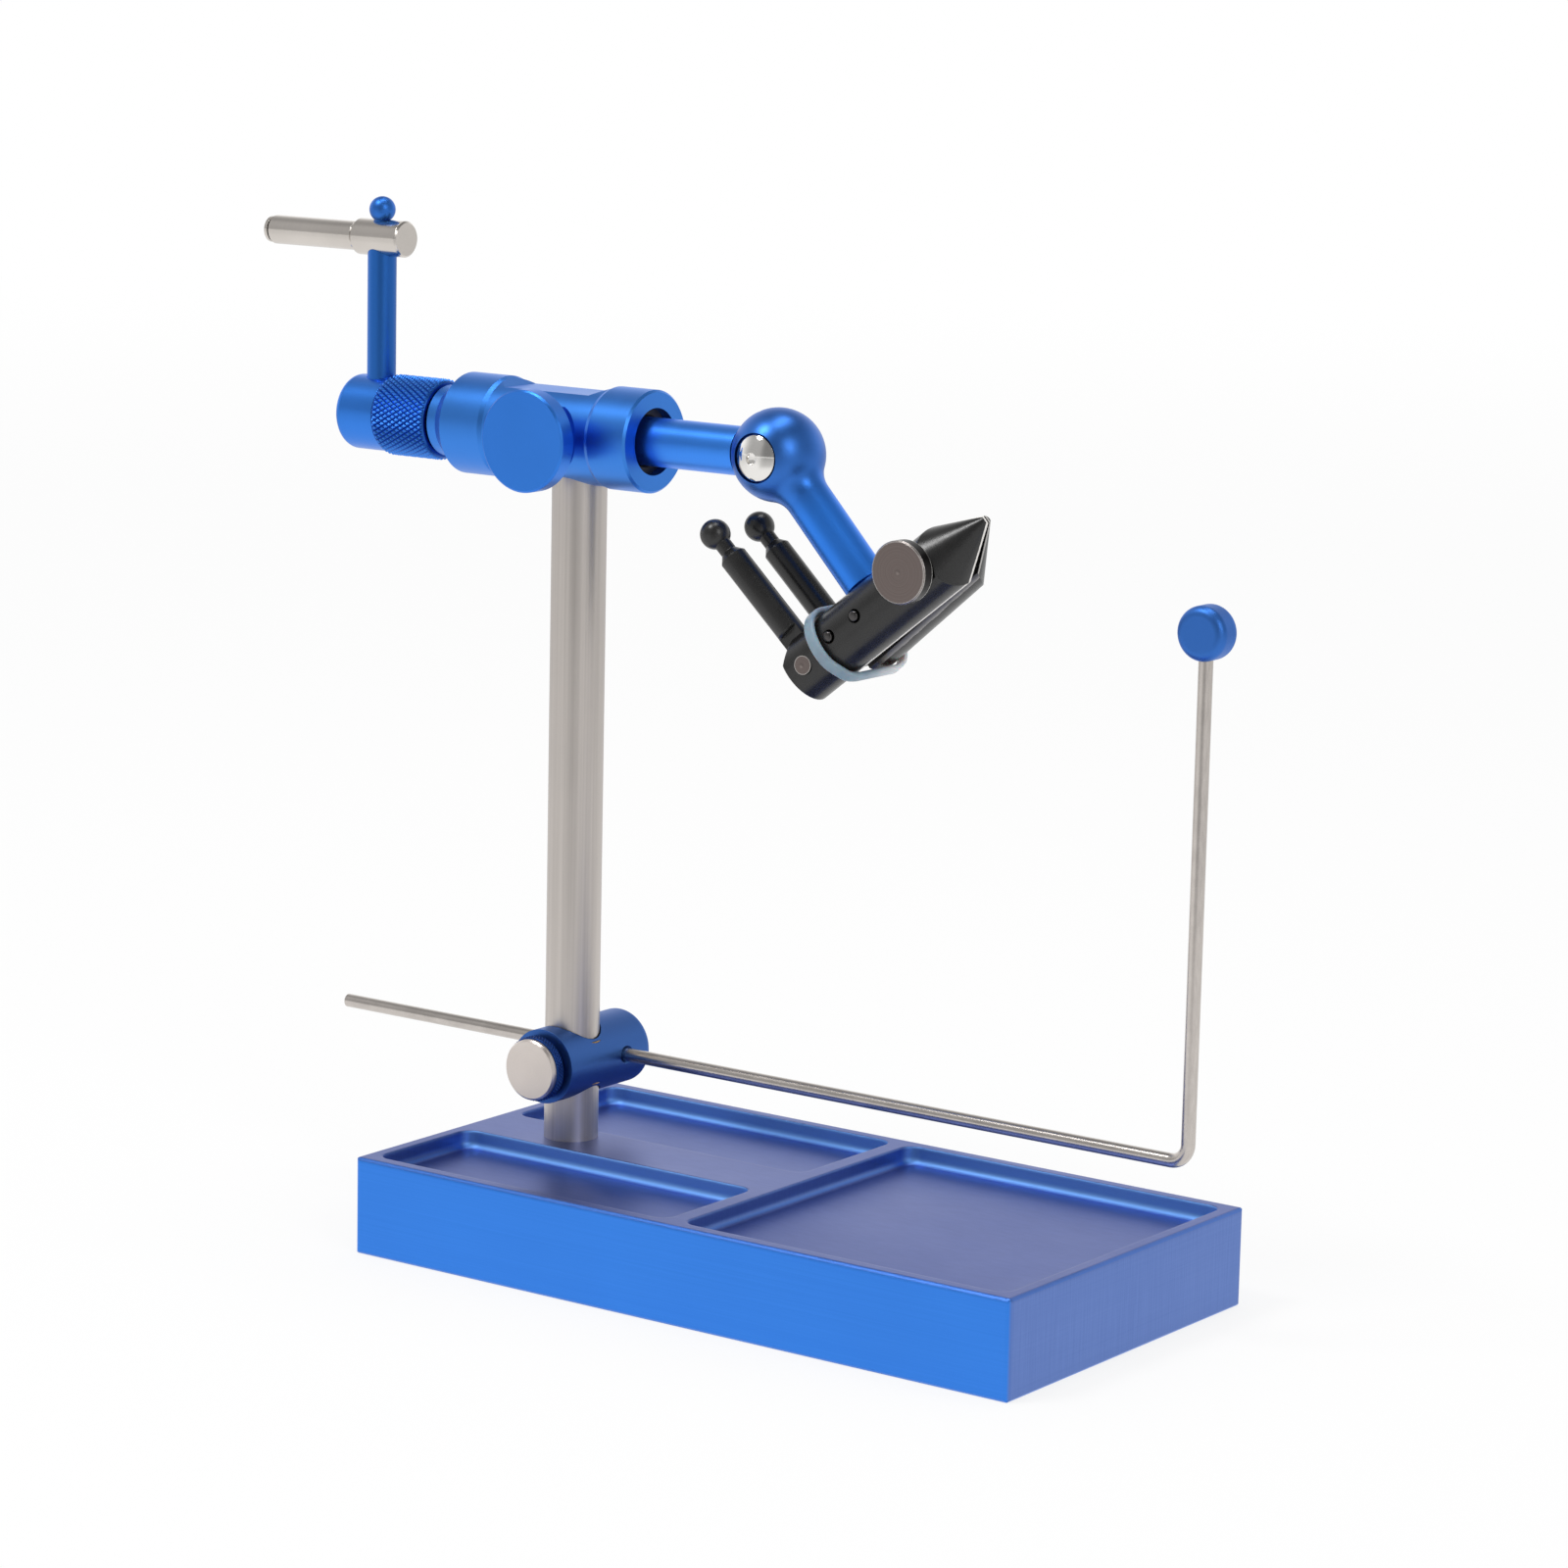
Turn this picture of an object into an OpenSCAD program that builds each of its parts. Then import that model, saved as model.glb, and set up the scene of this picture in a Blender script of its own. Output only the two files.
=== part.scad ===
// Rotary fly tying vise on a pedestal base with trays and a bobbin rest.
// Origin: centre of the underside of the base. +X runs along the base towards the jaws, +Y to the back, +Z up.

/* [Base] */
// length of the base along X
base_length = 170; // [160:1:220]
// depth of the base along Y
base_width = 90; // [86:1:130]
// thickness of the base
base_height = 21.5; // [16:0.5:32]
// radius of the upright corners
base_corner_r = 1.2; // [0.8:0.1:3]
// chamfer round the top and bottom edges
base_edge_chamfer = 0.6; // [0.3:0.1:1.2]
// width of the rim round the trays
rim_width = 3.2; // [2.6:0.1:5]
// depth of the tray recesses
tray_depth = 4; // [3:0.1:6]
// corner radius of a tray seen from above
tray_corner_r = 3.4; // [3.3:0.1:6]
// radius of the cove at the foot of a tray wall
tray_cove_r = 1.6; // [0.8:0.1:1.6]
// place of the cross divider along X
divider_x = -1; // [-10:0.5:10]
// width of the cross divider
divider_width = 4; // [3:0.1:6]
// width of the land that carries the post
post_land_width = 17; // [15:0.5:22]
// shift of the post land towards the front
post_land_shift = 2; // [0:0.1:2.2]

/* [Post] */
// distance of the post axis from the left end of the base
post_inset = 24; // [19:0.5:35]
// diameter of the post
post_d = 12; // [10:0.1:13]
// height of the rotary axis above the table
axis_z = 177.4; // [150:0.5:220]
// diameter of the threaded end inside the housing
post_spigot_d = 8; // [6:0.1:8]
// shank diameter of the bolt under the base
post_bolt_d = 8; // [6:0.1:8]
// head diameter of the bolt under the base
post_bolt_head_d = 13; // [12:0.1:14]
// head height of the bolt under the base
post_bolt_head_h = 8; // [6:0.1:9]
// thread length of the bolt inside the post
post_bolt_reach = 18; // [12:1:30]
// width across flats of the hexagon socket in the bolt
post_bolt_key = 6; // [5:0.5:6]

/* [Rotary housing] */
// diameter of the two end flanges
flange_d = 22.2; // [20:0.1:24]
// diameter of the waist between the flanges
waist_d = 21.4; // [20:0.1:21.6]
// diameter of the rear neck
neck_d = 15.6; // [14:0.1:17]
// distance of the rear end of the neck behind the post axis
neck_back = 37; // [35.5:0.1:39]
// distance where the rear chamfer starts behind the post axis
rear_cone_back = 34.3; // [33:0.1:35]
// distance where the rear flange reaches its full size behind the post axis
rear_flange_back = 30.3; // [28:0.1:32]
// distance of the front end of the rear flange behind the post axis
flat_start_back = 19.8; // [18.5:0.1:22]
// distance where the milled flat starts behind the post axis
flat_low_back = 16.8; // [15:0.1:18]
// distance where the milled flat ends in front of the post axis
flat_end_reach = 6.3; // [5:0.1:7]
// distance of the front flange in front of the post axis
front_flange_reach = 10.3; // [9:0.1:12]
// distance of the front face of the housing from the post axis
housing_front_reach = 20.3; // [19:0.1:23]
// height of the milled flat above the axis
flat_rise = 9.2; // [8.5:0.1:10]
// diameter of the front bore
front_bore_d = 14.5; // [13.5:0.1:16]
// depth from the front face to the bush
front_bush_recess = 2.4; // [1:0.1:4]
// length of the front bush
front_bush_length = 12; // [8:0.5:14]
// length of the rear bush
rear_bush_length = 12; // [8:0.5:14]
// wall of the rear bush
rear_bush_wall = 2; // [1.2:0.1:2.4]
// chamfer on the housing rims
housing_chamfer = 0.5; // [0.3:0.1:0.8]
// diameter of the spot face round the knob stem
knob_spot_d = 14; // [12:0.1:15]
// distance of the spot face from the axis
knob_spot_y = 8.4; // [7.8:0.1:9]

/* [Tension knob] */
// diameter of the tension knob
knob_d = 22; // [18:0.1:26]
// thickness of the tension knob
knob_thickness = 4.2; // [3:0.1:6]
// distance of the knob face from the axis
knob_face_y = 20.3; // [18:0.1:23]
// diameter of the knob stem
knob_stem_d = 6; // [5:0.1:6]
// diameter of the boss behind the knob
knob_boss_d = 10; // [8:0.1:11]
// length of the boss behind the knob
knob_boss_length = 2; // [1:0.1:2.5]
// length of the friction plug
plug_length = 1.8; // [1.2:0.1:2]

/* [Rotary shaft and crank] */
// diameter of the shaft in front of the housing
shaft_d = 10.5; // [9:0.1:11]
// diameter of the shaft inside the housing
shaft_rear_d = 8; // [7:0.1:8]
// depth of the thrust shoulder inside the front bush
shoulder_depth = 9; // [6:0.1:9]
// diameter of the knurled collar
collar_d = 18; // [16.5:0.1:20]
// length of the knurled collar
collar_length = 14.9; // [12:0.1:15]
// chamfer of the knurled collar
collar_chamfer = 0.8; // [0.4:0.1:1.2]
// diameter of the grub screw in the collar
grub_d = 4; // [3:0.1:4]
// length of the grub screw
grub_length = 4.4; // [3:0.1:4.4]
// diameter of the crank hub
hub_d = 16.6; // [15:0.1:18]
// length of the crank hub
hub_length = 11; // [10:0.1:14]
// rounding of the rear edge of the hub
hub_rounding = 1.8; // [0.8:0.1:2.5]
// length of the shaft inside the hub
hub_bore_depth = 8; // [7.5:0.1:9]
// distance of the crank arm from the front face of the hub
arm_setback = 4; // [3.6:0.1:5]
// diameter of the crank arm
crank_d = 6.4; // [5:0.1:6.8]
// depth of the wide part of the crank arm above the shaft axis
crank_seat = 4.4; // [4.2:0.1:5.5]
// diameter of the stud at the foot of the crank arm
crank_stud_d = 4; // [3:0.1:4]
// reach of the stud below the shaft axis
crank_stud_reach = 6.4; // [5:0.1:7]
// height of the handle above the rotary axis
handle_rise = 38.8; // [30:0.1:50]
// diameter of the ball nut
crank_ball_d = 5.8; // [5:0.1:7]
// height of the ball nut centre above the handle axis
crank_ball_rise = 6.2; // [5.5:0.1:7]
// diameter of the neck of the crank arm inside the spindle
crank_neck_d = 3.4; // [2.6:0.1:3.6]
// diameter of the cross hub of the handle spindle
spindle_hub_d = 8; // [7:0.1:9]
// length of the spindle hub in front of the arm
spindle_hub_front = 7; // [5:0.1:9]
// length of the spindle hub behind the arm
spindle_hub_rear = 6.3; // [5:0.1:8]
// diameter of the spindle pin
spindle_pin_d = 4; // [3:0.1:4.4]
// diameter of the handle sleeve
sleeve_d = 6.4; // [5.6:0.1:8]
// length of the handle sleeve
sleeve_length = 24.5; // [18:0.1:34]
// diameter of the retaining ring
ring_d = 5.8; // [5:0.1:6]
// thickness of the retaining ring
ring_thickness = 0.8; // [0.6:0.1:1]
// depth of the groove under the retaining ring
ring_groove = 0.4; // [0.2:0.1:0.5]
// length of the spindle end behind the ring
spindle_end_length = 0.9; // [0.8:0.1:1.5]

/* [Ball joint and arm] */
// distance of the ball centre in front of the post axis
ball_reach = 52.8; // [49:0.1:55]
// diameter of the ball
ball_d = 20; // [18:0.1:21]
// thickness of the shaft tongue in the ball
tongue_thickness = 4.4; // [3.5:0.1:5]
// diameter of the rounded end of the shaft tongue
tongue_end_d = 9.4; // [8:0.1:9.4]
// distance of the screw seats from the middle plane
cheek_y = 5.5; // [5:0.1:6]
// diameter of the screw seats
screw_seat_d = 10.6; // [10.2:0.1:11]
// head diameter of the joint screw
joint_head_d = 9.5; // [8:0.1:9.8]
// height of the domed head of the joint screw
joint_head_h = 3.1; // [2.4:0.1:3.5]
// shank diameter of the joint screw
joint_screw_d = 5; // [4:0.1:5]
// width across flats of the socket in the joint screw
joint_key = 2.5; // [2:0.5:3]
// depth of the socket in the joint screw
joint_key_depth = 1.6; // [1:0.1:2]
// width across flats of the joint nut
joint_nut_flats = 8; // [7:0.5:8]
// height of the joint nut
joint_nut_h = 3.6; // [3:0.1:5]
// turn of the arm below the horizontal
arm_angle = 46.9; // [40:0.1:55]
// distance from the ball centre to the jaw pin
arm_length = 41; // [38:0.1:50]
// diameter of the arm
arm_d = 9.8; // [8.5:0.1:10]
// radius of the fillet between the ball and the arm
arm_fillet = 6; // [3:0.1:8]
// turn of the arm upwards that the slot allows
tilt_up = 40; // [20:1:45]
// turn of the arm downwards that the slot allows
tilt_down = 30; // [20:1:35]
// thickness of the flat end of the arm
blade_thickness = 3.6; // [3:0.1:3.7]
// distance from the jaw pin to the shoulder of the flat end
blade_shoulder = 6.9; // [6.8:0.1:8]
// width of the tail of the flat end that holds the guide pin
blade_tail_width = 5.6; // [4.5:0.1:6.5]

/* [Jaws] */
// angle of the jaws above the horizontal
jaw_angle = 39.5; // [35:0.1:45]
// length of a jaw
jaw_length = 54; // [50:0.1:60]
// diameter of the round bar of a jaw
jaw_d = 14; // [13:0.1:15]
// half of the angle between the two jaw faces
jaw_splay = 4.39; // [4.2:0.01:4.8]
// gap between the jaw tips
tip_gap = 0.4; // [0.4:0.1:0.6]
// distance of the front jaw centre line from its face
front_face_offset = 1.5; // [1:0.1:2]
// distance of the rear jaw centre line from its face
rear_face_offset = 4; // [3:0.1:4.5]
// height of the jaw point above the jaw centre line
nose_rise = 1.5; // [0.5:0.1:2]
// diameter of the jaw point
nose_point_d = 1.8; // [1.2:0.1:2.4]
// half angle of the conical nose
nose_angle = 29.5; // [25:0.1:33]
// lean of the nose cone
nose_lean = 5.5; // [3:0.1:8]
// chamfer round the tail of the front jaw
tail_chamfer = 0.6; // [0.3:0.1:1]
// length of the cut corner at the jaw tail
corner_cut_length = 4.2; // [3.5:0.1:4.6]
// height of the cut corner at the jaw tail
corner_cut_height = 5; // [4.5:0.1:5.5]
// length of the thin tail of the rear jaw
tang_length = 8.2; // [8:0.1:8.5]
// reach of the thin tail below the jaw centre line
tang_drop = 1.9; // [1.8:0.1:2.4]
// distance of the jaw pin from the tail
pivot_s = 21.5; // [20:0.1:23]
// height of the jaw pin above the jaw centre line
pivot_rise = 0.7; // [0:0.1:1.2]
// distance of the guide pin from the tail
guide_s = 13.8; // [13.7:0.1:14.5]
// diameter of the jaw pin and the guide pin
jaw_pin_d = 2.2; // [1.8:0.1:2.6]
// amount by which the pins stand out of the jaws
pin_proud = 0.3; // [0.1:0.1:0.4]
// distance of the clamp screw from the tail
screw_s = 37.3; // [36:0.1:38.5]
// height of the clamp screw above the jaw centre line
screw_rise = 1.1; // [0:0.1:1.6]
// head diameter of the clamp screw
clamp_head_d = 12; // [10:0.1:13]
// head height of the clamp screw
clamp_head_h = 4; // [3:0.1:5]
// shank diameter of the clamp screw
clamp_shank_d = 5; // [4:0.1:5]
// depth of the seat under the clamp screw head
clamp_seat_depth = 1.2; // [0.8:0.1:1.6]
// wall of the rear jaw behind the clamp screw
clamp_end_wall = 2.2; // [1.5:0.1:3]
// distance of the elastic band from the tail
band_s = 8.9; // [8.8:0.1:9]
// width of the elastic band
band_width = 3.5; // [3:0.1:3.5]
// thickness of the elastic band
band_thickness = 1.4; // [1:0.1:1.8]

/* [Levers] */
// distance of the lever pins from the tail
lever_s = 4.3; // [4:0.1:4.4]
// distance of the front lever pin below the jaw centre line
front_lever_drop = 0.6; // [0.4:0.1:0.8]
// height of the rear lever pin above the jaw centre line
rear_lever_rise = 1.4; // [1.2:0.1:1.6]
// diameter of the lever pins
lever_pin_d = 4; // [3:0.1:4.2]
// diameter of the round foot of a lever
lever_foot_d = 6.4; // [5.6:0.1:6.4]
// thickness of the foot of a lever
lever_foot_thickness = 2.6; // [2:0.1:2.6]
// distance of the lever from the jaw face
lever_inset = 3.4; // [3.2:0.1:3.6]
// distance from the front pin to the shoulder of the lever
lever_shoulder = 8.6; // [8.4:0.1:9.5]
// diameter of a lever
lever_d = 6; // [5:0.1:6]
// diameter of the ball at the end of a lever
lever_ball_d = 6.5; // [6.2:0.1:7.5]
// diameter of the neck under the ball
lever_neck_d = 3.6; // [2.8:0.1:4.2]
// length of the neck under the ball
lever_neck_length = 5; // [4:0.1:7]
// length of the cone between the lever and its neck
lever_cone_length = 1.6; // [1:0.1:2.5]
// height of the ball of the front lever above its pin
lever_length = 36; // [30:0.1:44]
// lean of the levers towards the tail
lever_lean = 7.4; // [4:0.1:8]

/* [Bobbin rest] */
// height of the clamp on the post
clamp_z = 39.1; // [38:0.1:60]
// diameter of the clamp body
clamp_d = 16.5; // [16:0.1:20]
// front end of the clamp body
clamp_front_y = 10.4; // [9.6:0.1:12]
// rear end of the clamp body
clamp_rear_y = 18.2; // [15:0.1:22]
// rounding of the rear edge of the clamp body
clamp_rounding = 1.6; // [0.8:0.1:3]
// wall of the sleeve inside the clamp
clamp_sleeve_wall = 0.8; // [0.6:0.1:1]
// height of the sleeve inside the clamp
clamp_sleeve_height = 9.6; // [8:0.1:10]
// diameter of the knurled ring of the thumb screw
thumb_ring_d = 14.5; // [12:0.1:16]
// length of the knurled ring of the thumb screw
thumb_ring_length = 2.2; // [1.6:0.1:3]
// diameter of the step behind the knurled ring
thumb_step_d = 12; // [10:0.1:12.5]
// length of the step behind the knurled ring
thumb_step_length = 1; // [0.6:0.1:1.6]
// diameter of the steel face of the thumb screw
thumb_disc_d = 13.5; // [11:0.1:14]
// thickness of the steel face of the thumb screw
thumb_disc_thickness = 1.2; // [0.8:0.1:2]
// shank diameter of the thumb screw
thumb_shank_d = 5; // [4:0.1:5]
// diameter of the bobbin rod
rod_d = 3; // [2.5:0.1:3]
// distance of the rod behind the post axis
rod_y = 9.3; // [9.2:0.1:10]
// height of the rod above the clamp axis
rod_rise = 0.4; // [-1:0.1:1]
// distance of the left end of the rod behind the post axis
rod_left_back = 72.8; // [59:0.1:89]
// distance of the upright part of the rod in front of the post axis
rod_right_reach = 153; // [149:0.1:171]
// bend radius of the rod at its centre line
rod_bend_r = 4; // [3:0.1:8]
// height of the disc centre above the table
rest_z = 149.4; // [130:0.1:165]
// diameter of the rest disc
rest_d = 11.4; // [9:0.1:14]
// thickness of the rest disc
rest_thickness = 7; // [5:0.1:9]
// rounding of the rest disc
rest_rounding = 2; // [1:0.1:2.4]
// depth of the rod inside the rest disc
rest_seat = 3; // [2:0.1:4]
// countersink at the rod hole
rod_countersink = 0.7; // [0.3:0.1:1]

/* [Fits] */
// radial clearance of shafts and pins that turn
running_clearance = 0.05; // [0.02:0.01:0.08]
// gap between faces that move past each other
face_gap = 0.3; // [0.25:0.01:0.35]
// radial clearance round the pins that the jaws rock on
rocking_clearance = 0.35; // [0.3:0.01:0.4]
// gap between the elastic band and the jaws
band_gap = 0.4; // [0.35:0.01:0.5]
// chamfer on small edges
small_chamfer = 0.4; // [0.2:0.05:0.5]

/* [Hidden] */
$fn = 48;
blue = [0.05, 0.27, 0.68];
dark_blue = [0.04, 0.12, 0.42];
steel = [0.66, 0.65, 0.63];
black = [0.06, 0.06, 0.07];
bronze = [0.5, 0.34, 0.16];
elastic = [0.72, 0.79, 0.86];
overrun = 1;
half_share = 0.5;
hex_share = 1 / cos(30);

post_x = post_inset - base_length / 2;
neck_x = post_x - neck_back;
rear_cone_x = post_x - rear_cone_back;
rear_flange_x = post_x - rear_flange_back;
flat_start_x = post_x - flat_start_back;
flat_low_x = post_x - flat_low_back;
flat_end_x = post_x + flat_end_reach;
front_flange_x = post_x + front_flange_reach;
housing_front_x = post_x + housing_front_reach;
ball_x = post_x + ball_reach;
post_r = post_d / 2;
spigot_r = post_spigot_d / 2;
flange_r = flange_d / 2;
waist_r = waist_d / 2;
neck_r = neck_d / 2;
shaft_r = shaft_d / 2;
shaft_rear_r = shaft_rear_d / 2;
front_bore_r = front_bore_d / 2;
knob_stem_r = knob_stem_d / 2;
post_seat_drop = sqrt(pow(waist_r, 2) - pow(post_r, 2)) - small_chamfer;
post_top_z = axis_z - post_seat_drop;
spigot_top_z = axis_z - shaft_rear_r - overrun;
front_bush_x = housing_front_x - front_bush_recess;
shoulder_x = front_bush_x - shoulder_depth;
housing_bore_r = shaft_rear_r + housing_chamfer;
plug_tip_y = shaft_rear_r + running_clearance;
plug_back_y = plug_tip_y + plug_length;
collar_front_x = neck_x - face_gap;
collar_rear_x = collar_front_x - collar_length;
hub_rear_x = collar_rear_x - hub_length;
shaft_rear_x = collar_rear_x - hub_bore_depth;
crank_x = collar_rear_x - arm_setback;
collar_mid_x = (collar_front_x + collar_rear_x) / 2;
handle_z = axis_z + handle_rise;
spindle_front_x = crank_x + spindle_hub_front;
spindle_step_x = crank_x - spindle_hub_rear;
sleeve_front_x = spindle_step_x - face_gap;
sleeve_rear_x = sleeve_front_x - sleeve_length;
ring_front_x = sleeve_rear_x - face_gap;
ring_rear_x = ring_front_x - ring_thickness;
spindle_rear_x = ring_rear_x - spindle_end_length;
spindle_pin_r = spindle_pin_d / 2;
spindle_hub_r = spindle_hub_d / 2;
ball_r = ball_d / 2;
socket_r = ball_r + face_gap;
arm_r = arm_d / 2;
fillet_radial = arm_r + arm_fillet;
fillet_reach = ball_r + arm_fillet;
fillet_along = sqrt(pow(fillet_reach, 2) - pow(fillet_radial, 2));
fillet_share = ball_r / fillet_reach;
pin_x = ball_x + arm_length * cos(arm_angle);
pin_z = axis_z - arm_length * sin(arm_angle);
slot_half = tongue_thickness / 2 + face_gap;
slot_r = tongue_end_d / 2 + face_gap;
slot_reach = ball_r + overrun;
jaw_r = jaw_d / 2;
tail_y = tip_gap / 2;
function face_y(s) = tip_gap / 2 + (jaw_length - s) * tan(jaw_splay);
front_depth = jaw_r + front_face_offset;
rear_depth = jaw_r + rear_face_offset;
front_crown_pin = face_y(pivot_s) + front_depth;
rear_crown_pin = face_y(pivot_s) + rear_depth;
front_crown_guide = face_y(guide_s) + front_depth;
rear_crown_guide = face_y(guide_s) + rear_depth;
clamp_seat_y = face_y(screw_s) + front_depth - clamp_seat_depth;
clamp_head_y = clamp_seat_y + face_gap;
clamp_end_y = face_y(screw_s) + rear_depth - clamp_end_wall;
lever_slot_half = lever_foot_thickness / 2 + face_gap;
lever_slot_r = lever_foot_d / 2 + face_gap;
band_mid_s = band_s + band_width / 2;
band_front_y = face_y(band_mid_s) + front_face_offset;
band_rear_y = face_y(band_mid_s) + rear_face_offset;
band_inner_r = jaw_r + band_gap;
rear_lever_loss = front_lever_drop + rear_lever_rise;
sleeve_bore_r = post_r + running_clearance;
sleeve_outer_r = sleeve_bore_r + clamp_sleeve_wall;
rod_z = clamp_z + rod_rise;
rod_r = rod_d / 2;
rod_left_x = post_x - rod_left_back;
rod_right_x = post_x + rod_right_reach;
rest_r = rest_d / 2;
rod_top_z = rest_z - rest_r + rest_seat;
thumb_step_y = clamp_front_y + face_gap;
thumb_ring_y = thumb_step_y + thumb_step_length;
thumb_face_y = thumb_ring_y + thumb_ring_length;
thumb_tip_y = sleeve_outer_r + face_gap;

// round bar along X from one place to another
module x_bar(x_lo, x_hi, r) {
  translate([x_lo, 0, 0])
    rotate([0, 90, 0])
      cylinder(r = r, h = x_hi - x_lo);
}

// round bar along Y from one place to another
module y_bar(y_lo, y_hi, r) {
  translate([0, y_lo, 0])
    rotate([-90, 0, 0])
      cylinder(r = r, h = y_hi - y_lo);
}

// turned solid on the X axis, profile points are radius and place
module turned_x(points) {
  rotate([0, 90, 0])
    rotate_extrude()
      polygon(points);
}

// bar with chamfered ends along Z
module chamfered_bar(r, h, low, high) {
  rotate_extrude()
    polygon([[0, 0], [r - low, 0], [r, low], [r, h - high], [r - high, h], [0, h]]);
}

// half section of a bar with a rounded far end
module rounded_section(r, h, e) {
  square([r - e, h]);
  square([r, h - e]);
  translate([r - e, h - e])
    circle(r = e);
}

// hexagon across flats
module hexagon(flats, h) {
  cylinder(r = flats * half_share * hex_share, h = h, $fn = 6);
}

// section across a tray with coved corners at its floor
module trough(low, high) {
  translate([low, tray_cove_r])
    square([high - low, tray_depth - tray_cove_r + overrun]);
  translate([low + tray_cove_r, 0])
    square([high - low - 2 * tray_cove_r, tray_depth + overrun]);
  for (side = [low + tray_cove_r, high - tray_cove_r])
    translate([side, tray_cove_r])
      circle(r = tray_cove_r);
}

// half section of a tray corner
module tray_corner() {
  square([tray_corner_r - tray_cove_r, tray_depth + overrun]);
  translate([0, tray_cove_r])
    square([tray_corner_r, tray_depth - tray_cove_r + overrun]);
  translate([tray_corner_r - tray_cove_r, tray_cove_r])
    circle(r = tray_cove_r);
}

// one tray recess between four sides
module tray(x_lo, x_hi, y_lo, y_hi) {
  translate([0, 0, base_height - tray_depth]) {
    for (x = [x_lo + tray_corner_r, x_hi - tray_corner_r], y = [y_lo + tray_corner_r, y_hi - tray_corner_r])
      translate([x, y, 0])
        rotate_extrude()
          tray_corner();
    translate([x_lo + tray_corner_r, 0, 0])
      rotate([90, 0, 90])
        linear_extrude(x_hi - x_lo - 2 * tray_corner_r)
          trough(y_lo, y_hi);
    translate([0, y_hi - tray_corner_r, 0])
      rotate([90, 0, 0])
        linear_extrude(y_hi - y_lo - 2 * tray_corner_r)
          trough(x_lo, x_hi);
  }
}

// outline of the base seen from above
module base_outline() {
  square([base_length - 2 * base_corner_r, base_width], center = true);
  square([base_length, base_width - 2 * base_corner_r], center = true);
  for (x = [-1, 1], y = [-1, 1])
    translate([x * (base_length / 2 - base_corner_r), y * (base_width / 2 - base_corner_r)])
      circle(r = base_corner_r);
}

module base() {
  edge = base_edge_chamfer * sqrt(2);
  tray_right = base_length / 2 - rim_width;
  tray_back = base_width / 2 - rim_width;
  left_stop = divider_x - divider_width / 2;
  right_start = divider_x + divider_width / 2;
  land_front = -post_land_width / 2 - post_land_shift;
  land_back = post_land_width / 2 - post_land_shift;
  color(blue)
    difference() {
      linear_extrude(base_height)
        base_outline();
      for (z = [0, base_height], y = [-base_width / 2, base_width / 2])
        translate([0, y, z])
          rotate([45, 0, 0])
            cube([base_length + overrun, edge, edge], center = true);
      for (z = [0, base_height], x = [-base_length / 2, base_length / 2])
        translate([x, 0, z])
          rotate([0, 45, 0])
            cube([edge, base_width + overrun, edge], center = true);
      tray(-tray_right, left_stop, -tray_back, land_front);
      tray(-tray_right, left_stop, land_back, tray_back);
      tray(right_start, tray_right, -tray_back, tray_back);
      translate([post_x, 0, -overrun])
        cylinder(r = post_bolt_head_d / 2 + face_gap, h = post_bolt_head_h + small_chamfer + overrun);
      translate([post_x, 0, 0])
        cylinder(r = post_bolt_d / 2, h = base_height + overrun);
    }
}

module post_bolt() {
  color(black)
    translate([post_x, 0, small_chamfer])
      difference() {
        union() {
          chamfered_bar(post_bolt_head_d / 2, post_bolt_head_h, small_chamfer, 0);
          cylinder(r = post_bolt_d / 2, h = base_height - small_chamfer + post_bolt_reach);
        }
        translate([0, 0, -overrun])
          hexagon(post_bolt_key, post_bolt_head_h / 2 + overrun);
      }
}

module post() {
  color(steel)
    translate([post_x, 0, 0])
      difference() {
        union() {
          translate([0, 0, base_height])
            cylinder(r = post_r, h = post_top_z - base_height);
          translate([0, 0, base_height])
            cylinder(r = spigot_r, h = spigot_top_z - base_height);
        }
        cylinder(r = post_bolt_d / 2, h = base_height + post_bolt_reach);
      }
}

module housing() {
  rear_slope = (flat_low_x - flat_start_x) / (flange_r - flat_rise);
  front_slope = (front_flange_x - flat_end_x) / (flange_r - flat_rise);
  color(blue)
    translate([0, 0, axis_z])
      difference() {
        turned_x([
          [0, neck_x], [neck_r - small_chamfer, neck_x], [neck_r, neck_x + small_chamfer],
          [neck_r, rear_cone_x], [flange_r, rear_flange_x], [flange_r, flat_start_x],
          [waist_r, flat_start_x + overrun], [waist_r, front_flange_x - overrun],
          [flange_r, front_flange_x], [flange_r, housing_front_x - housing_chamfer],
          [flange_r - housing_chamfer, housing_front_x], [0, housing_front_x]
        ]);
        // milled flat on the top
        translate([0, flange_r + overrun, 0])
          rotate([90, 0, 0])
            linear_extrude(2 * (flange_r + overrun))
              polygon([
                [flat_start_x - overrun * rear_slope, flange_r + overrun], [flat_low_x, flat_rise],
                [flat_end_x, flat_rise], [front_flange_x + overrun * front_slope, flange_r + overrun]
              ]);
        // bore for the shaft and seats for both bushes
        x_bar(neck_x - overrun, housing_front_x + overrun, housing_bore_r);
        x_bar(front_bush_x - front_bush_length, housing_front_x + overrun, front_bore_r);
        x_bar(neck_x - overrun, neck_x + rear_bush_length, shaft_rear_r + running_clearance + rear_bush_wall);
        // spot face and hole for the tension knob
        translate([post_x, 0, 0]) {
          y_bar(-flange_r - overrun, -knob_spot_y, knob_spot_d / 2);
          y_bar(-flange_r - overrun, 0, knob_stem_r + running_clearance);
        }
        // seat for the post
        translate([post_x, 0, -flange_r - overrun])
          cylinder(r = post_r, h = flange_r + overrun - post_seat_drop);
        translate([post_x, 0, -flange_r - overrun])
          cylinder(r = spigot_r, h = flange_r + overrun - shaft_rear_r - overrun);
      }
}

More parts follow.
